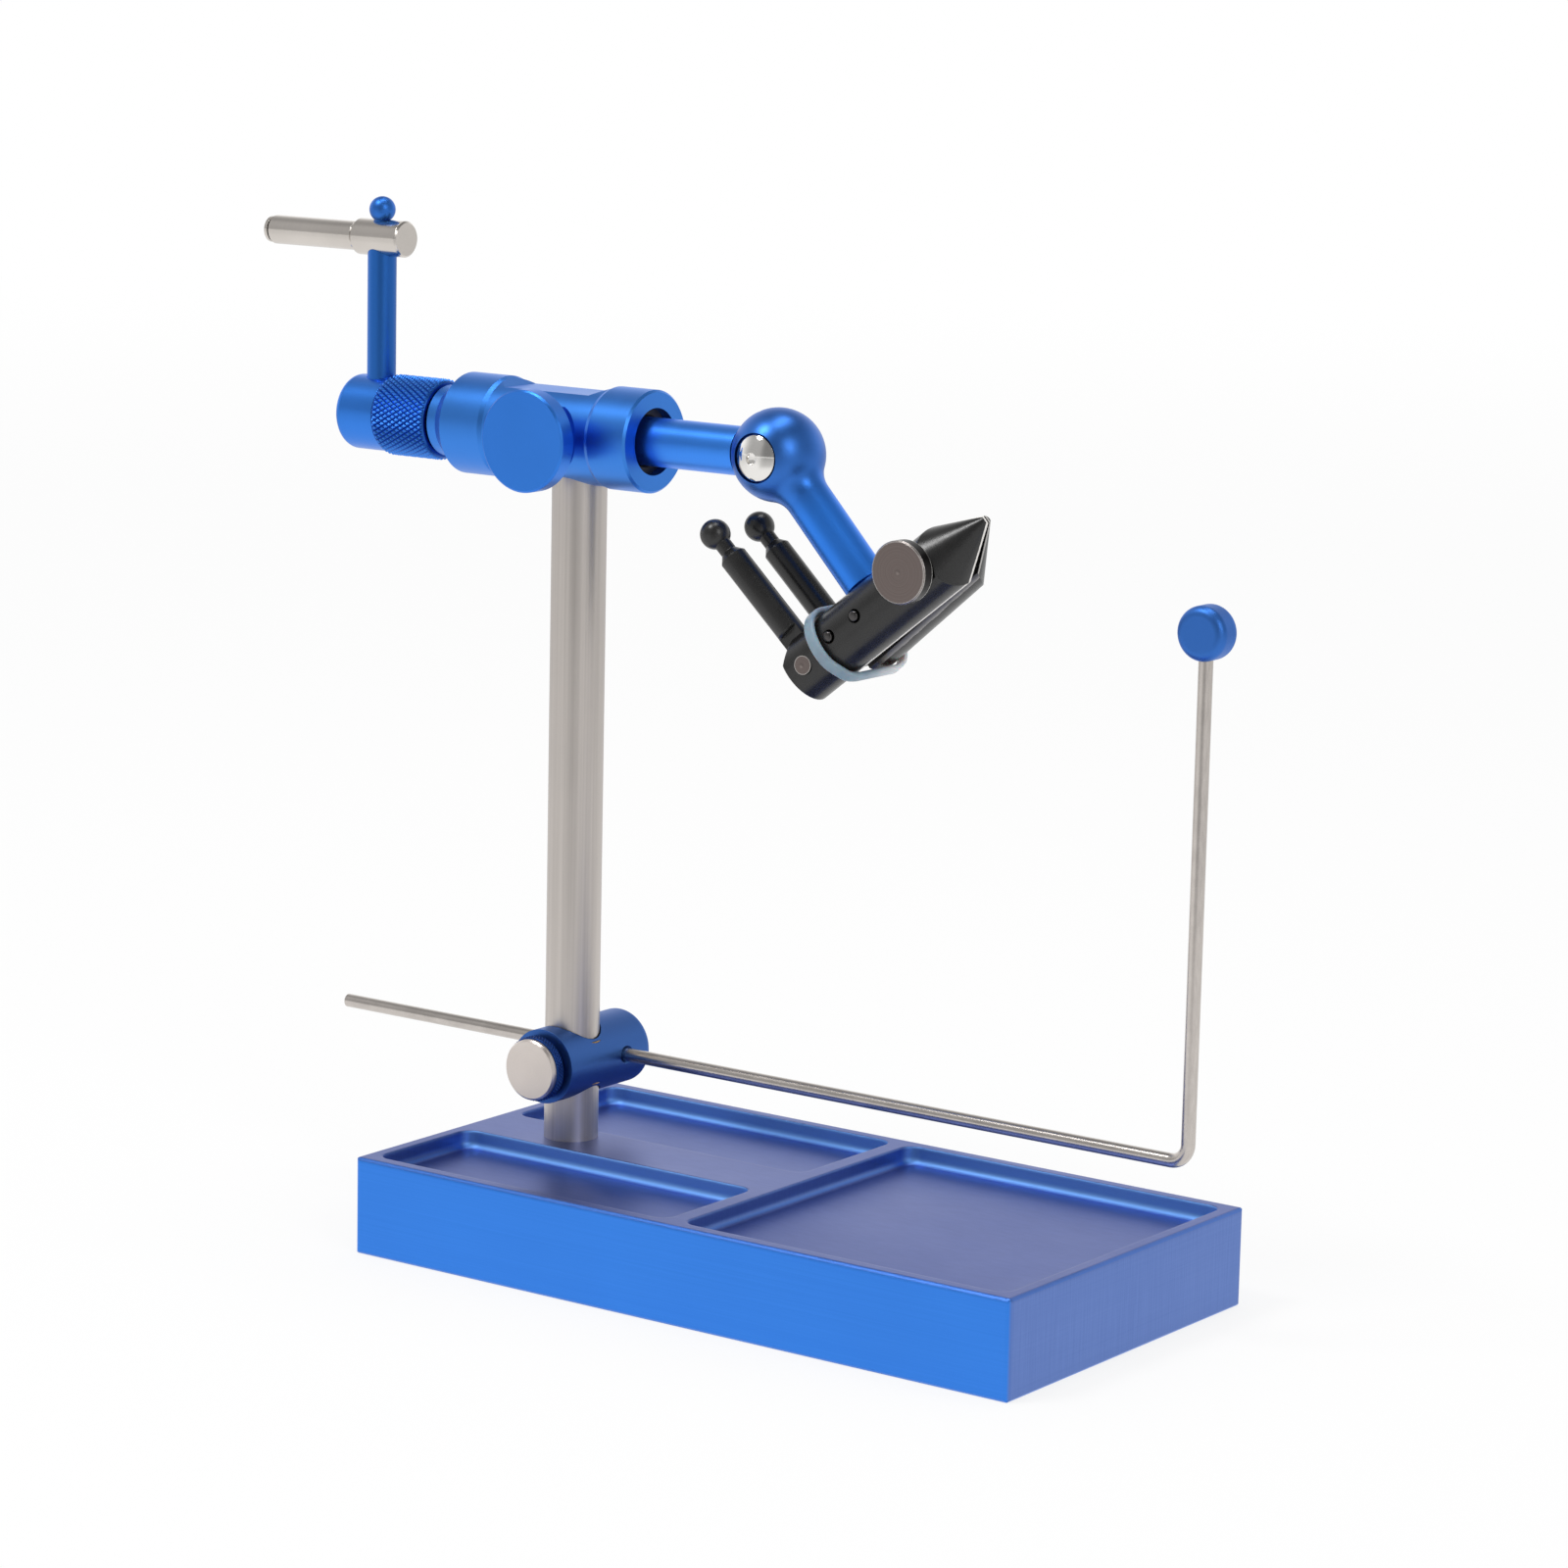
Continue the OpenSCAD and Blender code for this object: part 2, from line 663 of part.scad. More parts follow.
module front_bush() {
  inner = shaft_r + running_clearance;
  rear_inner = shaft_rear_r + running_clearance;
  rear_x = front_bush_x - front_bush_length;
  color(black)
    translate([0, 0, axis_z])
      turned_x([
        [rear_inner, rear_x], [front_bore_r, rear_x], [front_bore_r, front_bush_x],
        [inner + small_chamfer, front_bush_x], [inner, front_bush_x - small_chamfer],
        [inner, shoulder_x], [rear_inner, shoulder_x]
      ]);
}

module rear_bush() {
  inner = shaft_rear_r + running_clearance;
  color(bronze)
    translate([0, 0, axis_z])
      turned_x([
        [inner, neck_x], [inner + rear_bush_wall, neck_x],
        [inner + rear_bush_wall, neck_x + rear_bush_length], [inner, neck_x + rear_bush_length]
      ]);
}

module tension_knob() {
  color(blue)
    translate([post_x, 0, axis_z])
      rotate([90, 0, 0]) {
        translate([0, 0, knob_face_y - knob_thickness])
          chamfered_bar(knob_d / 2, knob_thickness, small_chamfer, small_chamfer);
        translate([0, 0, knob_face_y - knob_thickness - knob_boss_length])
          cylinder(r = knob_boss_d / 2, h = knob_boss_length + small_chamfer);
        translate([0, 0, plug_back_y + face_gap])
          cylinder(r = knob_stem_r, h = knob_face_y - knob_thickness - plug_back_y);
      }
}

module tension_plug() {
  color(bronze)
    translate([post_x, 0, axis_z])
      difference() {
        y_bar(-plug_back_y, 0, knob_stem_r);
        x_bar(-knob_d, knob_d, plug_tip_y);
      }
}

module knurled_collar() {
  collar_r = collar_d / 2;
  color(blue)
    translate([0, 0, axis_z])
      difference() {
        turned_x([
          [shaft_rear_r, collar_rear_x], [collar_r - collar_chamfer, collar_rear_x],
          [collar_r, collar_rear_x + collar_chamfer], [collar_r, collar_front_x - collar_chamfer],
          [collar_r - collar_chamfer, collar_front_x], [shaft_rear_r, collar_front_x]
        ]);
        translate([collar_mid_x, 0, 0])
          y_bar(0, collar_r + overrun, grub_d / 2);
      }
}

module collar_grub_screw() {
  color(black)
    translate([collar_mid_x, 0, axis_z])
      difference() {
        y_bar(0, shaft_rear_r + grub_length, grub_d / 2);
        x_bar(-grub_d, grub_d, shaft_rear_r);
        translate([0, shaft_rear_r + grub_length + overrun, 0])
          rotate([90, 0, 0])
            hexagon(grub_d / 2, grub_length / 2 + overrun);
      }
}

module rotary_shaft() {
  color(blue)
    translate([0, 0, axis_z])
      difference() {
        union() {
          difference() {
            union() {
              x_bar(shaft_rear_x, shoulder_x, shaft_rear_r);
              x_bar(shoulder_x + running_clearance, ball_x, shaft_r);
              x_bar(shoulder_x - overrun, ball_x, shaft_rear_r);
            }
            translate([ball_x, 0, 0])
              sphere(r = socket_r);
          }
          // flat tongue that enters the ball
          translate([ball_x, 0, 0]) {
            translate([-socket_r, -tongue_thickness / 2, -tongue_end_d / 2])
              cube([socket_r, tongue_thickness, tongue_end_d]);
            y_bar(-tongue_thickness / 2, tongue_thickness / 2, tongue_end_d / 2);
          }
        }
        translate([ball_x, 0, 0])
          y_bar(-tongue_thickness, tongue_thickness, joint_screw_d / 2 + running_clearance);
        translate([crank_x, 0, -shaft_d])
          cylinder(r = crank_stud_d / 2, h = 2 * shaft_d);
      }
}

module crank_hub() {
  color(blue)
    translate([0, 0, axis_z])
      difference() {
        translate([collar_rear_x, 0, 0])
          rotate([0, -90, 0])
            rotate_extrude()
              rounded_section(hub_d / 2, hub_length, hub_rounding);
        x_bar(shaft_rear_x, collar_rear_x + overrun, shaft_rear_r);
        translate([crank_x, 0, crank_seat])
          cylinder(r = crank_d / 2, h = hub_d);
        translate([crank_x, 0, -crank_stud_reach])
          cylinder(r = crank_stud_d / 2, h = hub_d);
      }
}

module crank_arm() {
  color(blue)
    translate([crank_x, 0, axis_z]) {
      difference() {
        translate([0, 0, crank_seat])
          cylinder(r = crank_d / 2, h = handle_rise - crank_seat);
        translate([0, 0, handle_rise])
          x_bar(-spindle_hub_d, spindle_hub_d, spindle_hub_r);
      }
      translate([0, 0, -crank_stud_reach])
        cylinder(r = crank_stud_d / 2, h = crank_stud_reach + crank_seat + overrun);
      translate([0, 0, handle_rise - spindle_hub_r - overrun])
        cylinder(r = crank_neck_d / 2, h = spindle_hub_r + overrun + crank_ball_rise);
    }
}

module crank_ball() {
  color(blue)
    translate([crank_x, 0, handle_z])
      difference() {
        translate([0, 0, crank_ball_rise])
          sphere(r = crank_ball_d / 2);
        x_bar(-spindle_hub_d, spindle_hub_d, spindle_hub_r);
        cylinder(r = crank_neck_d / 2, h = crank_ball_rise);
      }
}

module handle_spindle() {
  groove_r = spindle_pin_r - ring_groove;
  color(steel)
    translate([0, 0, handle_z])
      difference() {
        turned_x([
          [0, spindle_rear_x], [spindle_pin_r - small_chamfer, spindle_rear_x],
          [spindle_pin_r, spindle_rear_x + small_chamfer], [spindle_pin_r, ring_rear_x],
          [groove_r, ring_rear_x], [groove_r, ring_front_x], [spindle_pin_r, ring_front_x],
          [spindle_pin_r, spindle_step_x], [spindle_hub_r - small_chamfer, spindle_step_x],
          [spindle_hub_r, spindle_step_x + small_chamfer],
          [spindle_hub_r, spindle_front_x - small_chamfer],
          [spindle_hub_r - small_chamfer, spindle_front_x], [0, spindle_front_x]
        ]);
        translate([crank_x, 0, -spindle_hub_d])
          cylinder(r = crank_neck_d / 2, h = 2 * spindle_hub_d);
      }
}

module handle_sleeve() {
  inner = spindle_pin_r + running_clearance;
  outer = sleeve_d / 2;
  color(steel)
    translate([0, 0, handle_z])
      turned_x([
        [inner, sleeve_rear_x], [outer - small_chamfer, sleeve_rear_x],
        [outer, sleeve_rear_x + small_chamfer], [outer, sleeve_front_x - small_chamfer],
        [outer - small_chamfer, sleeve_front_x], [inner, sleeve_front_x]
      ]);
}

module handle_retaining_ring() {
  inner = spindle_pin_r - ring_groove;
  color(steel)
    translate([0, 0, handle_z])
      turned_x([
        [inner, ring_rear_x], [ring_d / 2, ring_rear_x], [ring_d / 2, ring_front_x], [inner, ring_front_x]
      ]);
}

// slot that lets the shaft tongue swing inside the ball
module ball_slot() {
  fan = (tilt_up + tilt_down) / 2;
  fan_reach = slot_reach / cos(fan);
  rotate([90, 0, 0])
    translate([0, 0, -slot_half])
      linear_extrude(2 * slot_half) {
        circle(r = slot_r);
        for (turn = [180 - tilt_up, 180 + tilt_down])
          rotate(turn)
            translate([0, -slot_r])
              square([slot_reach, 2 * slot_r]);
        polygon([
          [0, 0],
          [fan_reach * cos(180 - tilt_up), fan_reach * sin(180 - tilt_up)],
          [fan_reach * cos(180 + tilt_down), fan_reach * sin(180 + tilt_down)]
        ]);
      }
}

// places its children in the jaw frame: tail at 0, tip along +X, top of the jaws along +Z
module in_jaw_frame() {
  translate([pin_x, 0, pin_z])
    rotate([0, -jaw_angle, 0])
      translate([-pivot_s, 0, -pivot_rise])
        children();
}

// flat end of the arm between the jaws
module arm_blade() {
  translate([0, 0, arm_length - blade_shoulder - overrun])
    intersection() {
      translate([-arm_r, -blade_thickness / 2, 0])
        cube([arm_d, blade_thickness, blade_shoulder + overrun]);
      cylinder(r = arm_r, h = blade_shoulder + overrun);
    }
  translate([0, 0, arm_length])
    y_bar(-blade_thickness / 2, blade_thickness / 2, arm_r);
}

module head_arm() {
  color(blue)
    difference() {
      union() {
        translate([ball_x, 0, axis_z])
          rotate([0, 90 + arm_angle, 0]) {
            sphere(r = ball_r);
            cylinder(r = arm_r, h = arm_length - blade_shoulder);
            rotate_extrude()
              difference() {
                polygon([
                  [0, fillet_along * fillet_share], [fillet_radial * fillet_share, fillet_along * fillet_share],
                  [fillet_radial, fillet_along], [0, fillet_along]
                ]);
                translate([fillet_radial, fillet_along])
                  circle(r = arm_fillet);
              }
            arm_blade();
          }
        in_jaw_frame()
          translate([0, 0, pivot_rise]) {
            translate([guide_s, -blade_thickness / 2, -blade_tail_width / 2])
              cube([pivot_s - guide_s, blade_thickness, blade_tail_width]);
            translate([guide_s, 0, 0])
              y_bar(-blade_thickness / 2, blade_thickness / 2, blade_tail_width / 2);
          }
      }
      translate([ball_x, 0, axis_z]) {
        ball_slot();
        y_bar(-ball_r, ball_r, joint_screw_d / 2);
        for (side = [-1, 1])
          translate([0, side * (cheek_y + ball_r / 2), 0])
            rotate([90, 0, 0])
              cylinder(r = screw_seat_d / 2, h = ball_r, center = true);
      }
      in_jaw_frame()
        translate([0, 0, pivot_rise])
          for (s = [pivot_s, guide_s])
            translate([s, 0, 0])
              y_bar(-blade_thickness, blade_thickness, jaw_pin_d / 2);
    }
}

module joint_screw() {
  head_r = joint_head_d / 2;
  dome_r = (pow(head_r, 2) + pow(joint_head_h, 2)) / (2 * joint_head_h);
  color(steel)
    translate([ball_x, 0, axis_z])
      rotate([90, 0, 0])
        difference() {
          union() {
            translate([0, 0, -cheek_y - joint_nut_h - small_chamfer])
              cylinder(r = joint_screw_d / 2, h = 2 * cheek_y + joint_nut_h + small_chamfer);
            intersection() {
              translate([0, 0, cheek_y])
                cylinder(r = head_r, h = joint_head_h);
              translate([0, 0, cheek_y + joint_head_h - dome_r])
                sphere(r = dome_r);
            }
          }
          translate([0, 0, cheek_y + joint_head_h - joint_key_depth])
            hexagon(joint_key, joint_key_depth + overrun);
        }
}

module joint_nut() {
  color(steel)
    translate([ball_x, 0, axis_z])
      rotate([-90, 0, 0])
        translate([0, 0, cheek_y])
          difference() {
            intersection() {
              hexagon(joint_nut_flats, joint_nut_h);
              chamfered_bar(joint_nut_flats * half_share * hex_share, joint_nut_h, 0, small_chamfer);
            }
            translate([0, 0, -overrun])
              cylinder(r = joint_screw_d / 2, h = joint_nut_h + 2 * overrun);
          }
}

// places its children on the splayed face of the front jaw, body towards -Y
module on_front_face() {
  in_jaw_frame()
    translate([jaw_length, -tail_y, 0])
      rotate([0, 0, jaw_splay])
        translate([-jaw_length, 0, 0])
          children();
}

// places its children on the splayed face of the rear jaw, which mirrors the front one
module on_rear_face() {
  mirror([0, 1, 0])
    on_front_face()
      children();
}

// round bar with a flat inner face and a conical nose
module jaw_bar(face_offset) {
  cone_length = jaw_length + jaw_d;
  intersection() {
    translate([0, -face_offset, 0])
      x_bar(0, jaw_length, jaw_r);
    translate([-overrun, -jaw_d - face_offset, -jaw_d])
      cube([jaw_length + 2 * overrun, jaw_d + face_offset, 2 * jaw_d]);
    translate([jaw_length, 0, nose_rise])
      rotate([0, -90 - nose_lean, 0])
        cylinder(r1 = nose_point_d / 2, r2 = nose_point_d / 2 + cone_length * tan(nose_angle), h = cone_length);
  }
}

// slot in a jaw tail for the foot of its lever
module lever_slot(rise, depth) {
  translate([lever_s, -lever_inset, rise]) {
    y_bar(-lever_slot_half, lever_slot_half, lever_slot_r);
    translate([-lever_slot_r, -lever_slot_half, 0])
      cube([2 * lever_slot_r, 2 * lever_slot_half, jaw_d]);
    translate([-lever_s - overrun, -lever_slot_half, -lever_slot_r])
      cube([lever_s + overrun, 2 * lever_slot_half, jaw_d + lever_slot_r]);
  }
  // bore for the lever pin
  translate([lever_s, 0, rise])
    y_bar(-depth - overrun, overrun, lever_pin_d / 2);
}

// cut corner that lets the lever shoulder swing past the tail
module tail_corner() {
  translate([0, overrun, 0])
    rotate([90, 0, 0])
      linear_extrude(2 * jaw_d)
        polygon([
          [-overrun, jaw_r - corner_cut_height - overrun * corner_cut_height / corner_cut_length],
          [corner_cut_length, jaw_r], [corner_cut_length, jaw_r + overrun], [-overrun, jaw_r + overrun]
        ]);
}

// clearance holes for the two cross pins and the clamp screw, straight across both jaws
module cross_holes(screw_reach) {
  in_jaw_frame() {
    for (s = [pivot_s, guide_s])
      translate([s, 0, pivot_rise])
        y_bar(-jaw_d * 2, jaw_d * 2, jaw_pin_d / 2 + rocking_clearance);
    translate([screw_s, 0, screw_rise])
      y_bar(-jaw_d * 2, screw_reach, clamp_shank_d / 2 + rocking_clearance);
  }
}

module jaw_front() {
  color(black)
    difference() {
      on_front_face()
        difference() {
          jaw_bar(front_face_offset);
          lever_slot(-front_lever_drop, front_depth);
          tail_corner();
        }
      cross_holes(jaw_d);
      // flat seat under the clamp screw head
      in_jaw_frame()
        translate([screw_s, 0, screw_rise])
          y_bar(-jaw_d * 2, -clamp_seat_y, clamp_head_d / 2 + face_gap);
    }
}

module jaw_rear() {
  color(black)
    difference() {
      on_rear_face()
        difference() {
          jaw_bar(rear_face_offset);
          lever_slot(rear_lever_rise, rear_depth);
          tail_corner();
          // the tail keeps only its upper part
          translate([-overrun, -jaw_d * 2, -jaw_d - tang_drop])
            cube([tang_length + overrun, jaw_d * 2 + overrun, jaw_d]);
        }
      in_jaw_frame() {
        for (s = [pivot_s, guide_s])
          translate([s, 0, pivot_rise])
            y_bar(0, jaw_d * 2, jaw_pin_d / 2 + rocking_clearance);
        translate([screw_s, 0, screw_rise])
          y_bar(0, clamp_end_y + face_gap, clamp_shank_d / 2 + running_clearance);
      }
    }
}

module jaw_pin() {
  color(steel)
    in_jaw_frame()
      translate([pivot_s, 0, pivot_rise])
        y_bar(-front_crown_pin - pin_proud, rear_crown_pin + pin_proud, jaw_pin_d / 2);
}

module guide_pin() {
  color(steel)
    in_jaw_frame()
      translate([guide_s, 0, pivot_rise])
        y_bar(-front_crown_guide - pin_proud, rear_crown_guide + pin_proud, jaw_pin_d / 2);
}

module jaw_clamp_screw() {
  color(steel)
    in_jaw_frame()
      translate([screw_s, 0, screw_rise]) {
        y_bar(-clamp_head_y - small_chamfer, clamp_end_y, clamp_shank_d / 2);
        translate([0, -clamp_head_y, 0])
          rotate([90, 0, 0])
            chamfered_bar(clamp_head_d / 2, clamp_head_h, small_chamfer, small_chamfer);
      }
}

// section of the elastic band across the jaws
module band_section(r) {
  translate([-band_front_y, 0])
    circle(r = r);
  translate([band_rear_y, 0])
    circle(r = r);
  translate([-band_front_y, -r])
    square([band_front_y + band_rear_y, 2 * r]);
}

module jaw_band() {
  color(elastic)
    in_jaw_frame()
      translate([band_s, 0, 0])
        rotate([90, 0, 90])
          linear_extrude(band_width)
            difference() {
              band_section(band_inner_r + band_thickness);
              band_section(band_inner_r);
            }
}

// clamp lever standing on its pin
module lever(length, shoulder) {
  lever_r = lever_d / 2;
  neck_r_low = lever_neck_d / 2;
  neck_start = length - lever_neck_length;
  difference() {
    union() {
      y_bar(-lever_foot_thickness / 2, lever_foot_thickness / 2, lever_foot_d / 2);
      translate([-lever_foot_d / 2, -lever_foot_thickness / 2, 0])
        cube([lever_foot_d, lever_foot_thickness, shoulder / 2]);
      rotate([0, -lever_lean, 0]) {
        intersection() {
          translate([-lever_foot_d, -lever_foot_thickness / 2, 0])
            cube([2 * lever_foot_d, lever_foot_thickness, shoulder + small_chamfer]);
          cylinder(r = lever_r, h = shoulder + small_chamfer);
        }
        rotate_extrude()
          polygon([
            [0, shoulder], [lever_r - small_chamfer, shoulder], [lever_r, shoulder + small_chamfer],
            [lever_r, neck_start - lever_cone_length], [neck_r_low, neck_start], [neck_r_low, length],
            [0, length]
          ]);
        translate([0, 0, length])
          sphere(r = lever_ball_d / 2);
      }
    }
    y_bar(-lever_foot_thickness, lever_foot_thickness, lever_pin_d / 2 + running_clearance);
  }
}

module lever_front() {
  color(black)
    on_front_face()
      translate([lever_s, -lever_inset, -front_lever_drop])
        lever(lever_length, lever_shoulder);
}

module lever_rear() {
  color(black)
    on_rear_face()
      translate([lever_s, -lever_inset, rear_lever_rise])
        lever(lever_length - rear_lever_loss, lever_shoulder - rear_lever_loss / 2);
}

module lever_pin_front() {
  color(steel)
    on_front_face()
      translate([lever_s, 0, -front_lever_drop])
        y_bar(-front_depth, -small_chamfer, lever_pin_d / 2);
}

module lever_pin_rear() {
  color(steel)
    on_rear_face()
      translate([lever_s, 0, rear_lever_rise])
        y_bar(-rear_depth + small_chamfer, -small_chamfer, lever_pin_d / 2);
}

module bobbin_clamp_body() {
  body_r = clamp_d / 2;
  groove_r = sleeve_outer_r + running_clearance;
  groove_h = clamp_sleeve_height + 2 * running_clearance;
  rod_hole_r = rod_r + running_clearance;
  color(blue)
    translate([post_x, 0, clamp_z])
      difference() {
        union() {
          translate([0, -clamp_front_y, 0])
            rotate([-90, 0, 0])
              rotate_extrude()
                rounded_section(body_r, clamp_front_y + clamp_rear_y, clamp_rounding);
        }
        // bore for the post and the groove that keeps the sleeve
        cylinder(r = post_r + face_gap, h = 2 * clamp_d, center = true);
        cylinder(r = groove_r, h = groove_h, center = true);
        // bore for the thumb screw
        y_bar(-clamp_front_y - overrun, 0, thumb_shank_d / 2 + running_clearance);
        // bore for the bobbin rod with countersunk mouths
        translate([0, rod_y, rod_rise]) {
          x_bar(-clamp_d, clamp_d, rod_hole_r);
          for (side = [0, 180])
            rotate([0, 0, side])
              turned_x([
                [0, body_r - rod_countersink], [rod_hole_r, body_r - rod_countersink],
                [rod_hole_r + rod_countersink + overrun, body_r + overrun], [0, body_r + overrun]
              ]);
        }
      }
}

module bobbin_clamp_sleeve() {
  color(bronze)
    translate([post_x, 0, clamp_z])
      difference() {
        cylinder(r = sleeve_outer_r, h = clamp_sleeve_height, center = true);
        cylinder(r = sleeve_bore_r, h = clamp_sleeve_height + overrun, center = true);
      }
}

module thumb_ring() {
  hole_r = thumb_shank_d / 2;
  ring_r = thumb_ring_d / 2;
  color(dark_blue)
    translate([post_x, -thumb_step_y, clamp_z])
      rotate([90, 0, 0])
        rotate_extrude()
          polygon([
            [hole_r, 0], [thumb_step_d / 2, 0], [thumb_step_d / 2, thumb_step_length],
            [ring_r - small_chamfer, thumb_step_length], [ring_r, thumb_step_length + small_chamfer],
            [ring_r, thumb_step_length + thumb_ring_length - small_chamfer],
            [ring_r - small_chamfer, thumb_step_length + thumb_ring_length],
            [hole_r, thumb_step_length + thumb_ring_length]
          ]);
}

module thumb_screw() {
  color(steel)
    translate([post_x, 0, clamp_z])
      rotate([90, 0, 0]) {
        translate([0, 0, thumb_tip_y])
          cylinder(r = thumb_shank_d / 2, h = thumb_face_y - thumb_tip_y + small_chamfer);
        translate([0, 0, thumb_face_y])
          chamfered_bar(thumb_disc_d / 2, thumb_disc_thickness, 0, small_chamfer);
      }
}

module bobbin_rod() {
  color(steel)
    translate([0, rod_y, rod_z]) {
      x_bar(rod_left_x, rod_right_x - rod_bend_r, rod_r);
      translate([rod_right_x - rod_bend_r, 0, rod_bend_r])
        rotate([90, 0, 0])
          rotate_extrude(angle = 90, start = 270)
            translate([rod_bend_r, 0])
              circle(r = rod_r);
      translate([rod_right_x, 0, rod_bend_r])
        cylinder(r = rod_r, h = rod_top_z - rod_z - rod_bend_r);
    }
}

module bobbin_rest_disc() {
  color(blue)
    translate([rod_right_x, rod_y, rest_z])
      difference() {
        for (side = [-90, 90])
          rotate([side, 0, 0])
            rotate_extrude()
              rounded_section(rest_r, rest_thickness / 2, rest_rounding);
        translate([0, 0, -rest_d])
          cylinder(r = rod_r, h = rest_d - rest_r + rest_seat);
      }
}

base();
post();
post_bolt();
housing();
front_bush();
rear_bush();
tension_knob();
tension_plug();
knurled_collar();
collar_grub_screw();
rotary_shaft();
crank_hub();
crank_arm();
crank_ball();
handle_spindle();
handle_sleeve();
handle_retaining_ring();
head_arm();
joint_screw();
joint_nut();
jaw_front();
jaw_rear();
jaw_pin();
guide_pin();
jaw_clamp_screw();
jaw_band();
lever_front();
lever_rear();
lever_pin_front();
lever_pin_rear();
bobbin_clamp_body();
bobbin_clamp_sleeve();
thumb_ring();
thumb_screw();
bobbin_rod();
bobbin_rest_disc();
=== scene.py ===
# Looks of the fly tying vise: camera, materials, fine pieces and studio.
# Lengths are metres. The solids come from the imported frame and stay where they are.
import math

import bmesh
import bpy
from mathutils import Matrix, Vector


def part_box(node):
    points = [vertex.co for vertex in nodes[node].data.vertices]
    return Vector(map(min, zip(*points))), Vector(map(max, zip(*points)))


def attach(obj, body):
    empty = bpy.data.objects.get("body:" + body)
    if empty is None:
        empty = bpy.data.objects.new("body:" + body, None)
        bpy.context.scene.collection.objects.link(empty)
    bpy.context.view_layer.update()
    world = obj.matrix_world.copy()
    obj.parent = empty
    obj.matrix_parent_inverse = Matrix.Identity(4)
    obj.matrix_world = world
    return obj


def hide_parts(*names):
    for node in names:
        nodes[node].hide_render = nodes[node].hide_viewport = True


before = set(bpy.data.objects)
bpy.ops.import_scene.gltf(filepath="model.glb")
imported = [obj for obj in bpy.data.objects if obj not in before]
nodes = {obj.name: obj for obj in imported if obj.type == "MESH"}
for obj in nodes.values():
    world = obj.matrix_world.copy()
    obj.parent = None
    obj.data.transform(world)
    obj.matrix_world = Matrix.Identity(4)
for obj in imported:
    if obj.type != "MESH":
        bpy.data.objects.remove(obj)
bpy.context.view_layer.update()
scene = bpy.context.scene

MM = 0.001
X_AXIS = Vector((1, 0, 0))
Y_AXIS = Vector((0, 1, 0))
Z_AXIS = Vector((0, 0, 1))


def middle(node):
    low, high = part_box(node)
    return (low + high) / 2


def flat(vector):
    return Vector((vector.x, 0, vector.z)).normalized()


# axes and centres, read from the frame
POST = middle("post")
HEAD = middle("knurled_collar")
HANDLE = middle("handle_sleeve")
CRANK = middle("crank_arm")
CLAMP = middle("thumb_screw")
BALL = middle("joint_screw")
JAW_PIN = middle("jaw_pin")
GUIDE_PIN = middle("guide_pin")
CLAMP_SCREW = middle("jaw_clamp_screw")
ARM_AXIS = flat(JAW_PIN - BALL)
JAW_AXIS = flat(JAW_PIN - GUIDE_PIN)
JAW_UP = Vector((-JAW_AXIS.z, 0, JAW_AXIS.x))
BASE_FRONT_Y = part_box("base")[0].y

# colours of the finishes, as linear red, green and blue
BLUE = (0.046, 0.230, 0.79)
MID_BLUE = (0.040, 0.180, 0.62)
HOUSING_BLUE = (0.055, 0.245, 0.77)
SHAFT_BLUE = (0.060, 0.285, 0.94)
BALL_BLUE = (0.047, 0.180, 0.60)
ARM_BLUE = (0.043, 0.250, 0.90)
COLLAR_BLUE = (0.052, 0.245, 0.82)
# painted shade: the dark blue that a knurl's grooves are darkened towards
GROOVE_SHADE_BLUE = (0.010, 0.06, 0.30)
CLAMP_BLUE = (0.052, 0.150, 0.46)
REST_BLUE = (0.050, 0.180, 0.58)
RING_BLUE = (0.020, 0.065, 0.26)
# painted highlight: pale blue for the tray walls that face the front
COVE_HIGHLIGHT_BLUE = (0.20, 0.42, 0.86)
STEEL = (0.61, 0.565, 0.53)
HANDLE_STEEL = (0.70, 0.655, 0.61)
THUMB_STEEL = (0.68, 0.62, 0.58)
POLISHED_STEEL = (0.88, 0.86, 0.83)
PIN_STEEL = (0.090, 0.085, 0.085)
# wear and painted highlight: near-white for the rubbed edges of blackened steel
WEAR_AND_GLINT_STEEL = (0.86, 0.83, 0.79)
SCREW_BROWN = (0.195, 0.160, 0.150)
SCREW_SIDE = (0.020, 0.018, 0.018)
SCREW_RIM = (0.95, 0.93, 0.90)
SCREW_MARK = (0.45, 0.40, 0.37)
BRONZE = (0.52, 0.34, 0.16)

# directions round the post, in degrees from X towards Y
DARK_SIDE = -66.0
LIGHT_SIDE = -118.0
BACKDROP_SIDE = 128.0


# the camera of the photograph: its place, and its right, up and back directions
LENS_MM = 115.4816
SENSOR_MM = 36.0
CAMERA_PLACE = (0.6055226, -0.8512768, 0.3018437)
CAMERA_ROWS = (
    (0.8101710173, 0.5858207991, 0.0209024874),
    (-0.1234906782, 0.1357086557, 0.9830224886),
    (0.5730383714, -0.7989975920, 0.1822906274),
)


def make_camera():
    data = bpy.data.cameras.new("camera")
    cam = bpy.data.objects.new("camera", data)
    scene.collection.objects.link(cam)
    data.sensor_width = SENSOR_MM
    data.lens = LENS_MM
    data.clip_start = 0.02
    data.clip_end = 200.0
    turn = Matrix(CAMERA_ROWS).transposed().to_4x4()
    cam.matrix_world = Matrix.Translation(CAMERA_PLACE) @ turn
    scene.camera = cam


make_camera()
scene.view_settings.view_transform = "Standard"


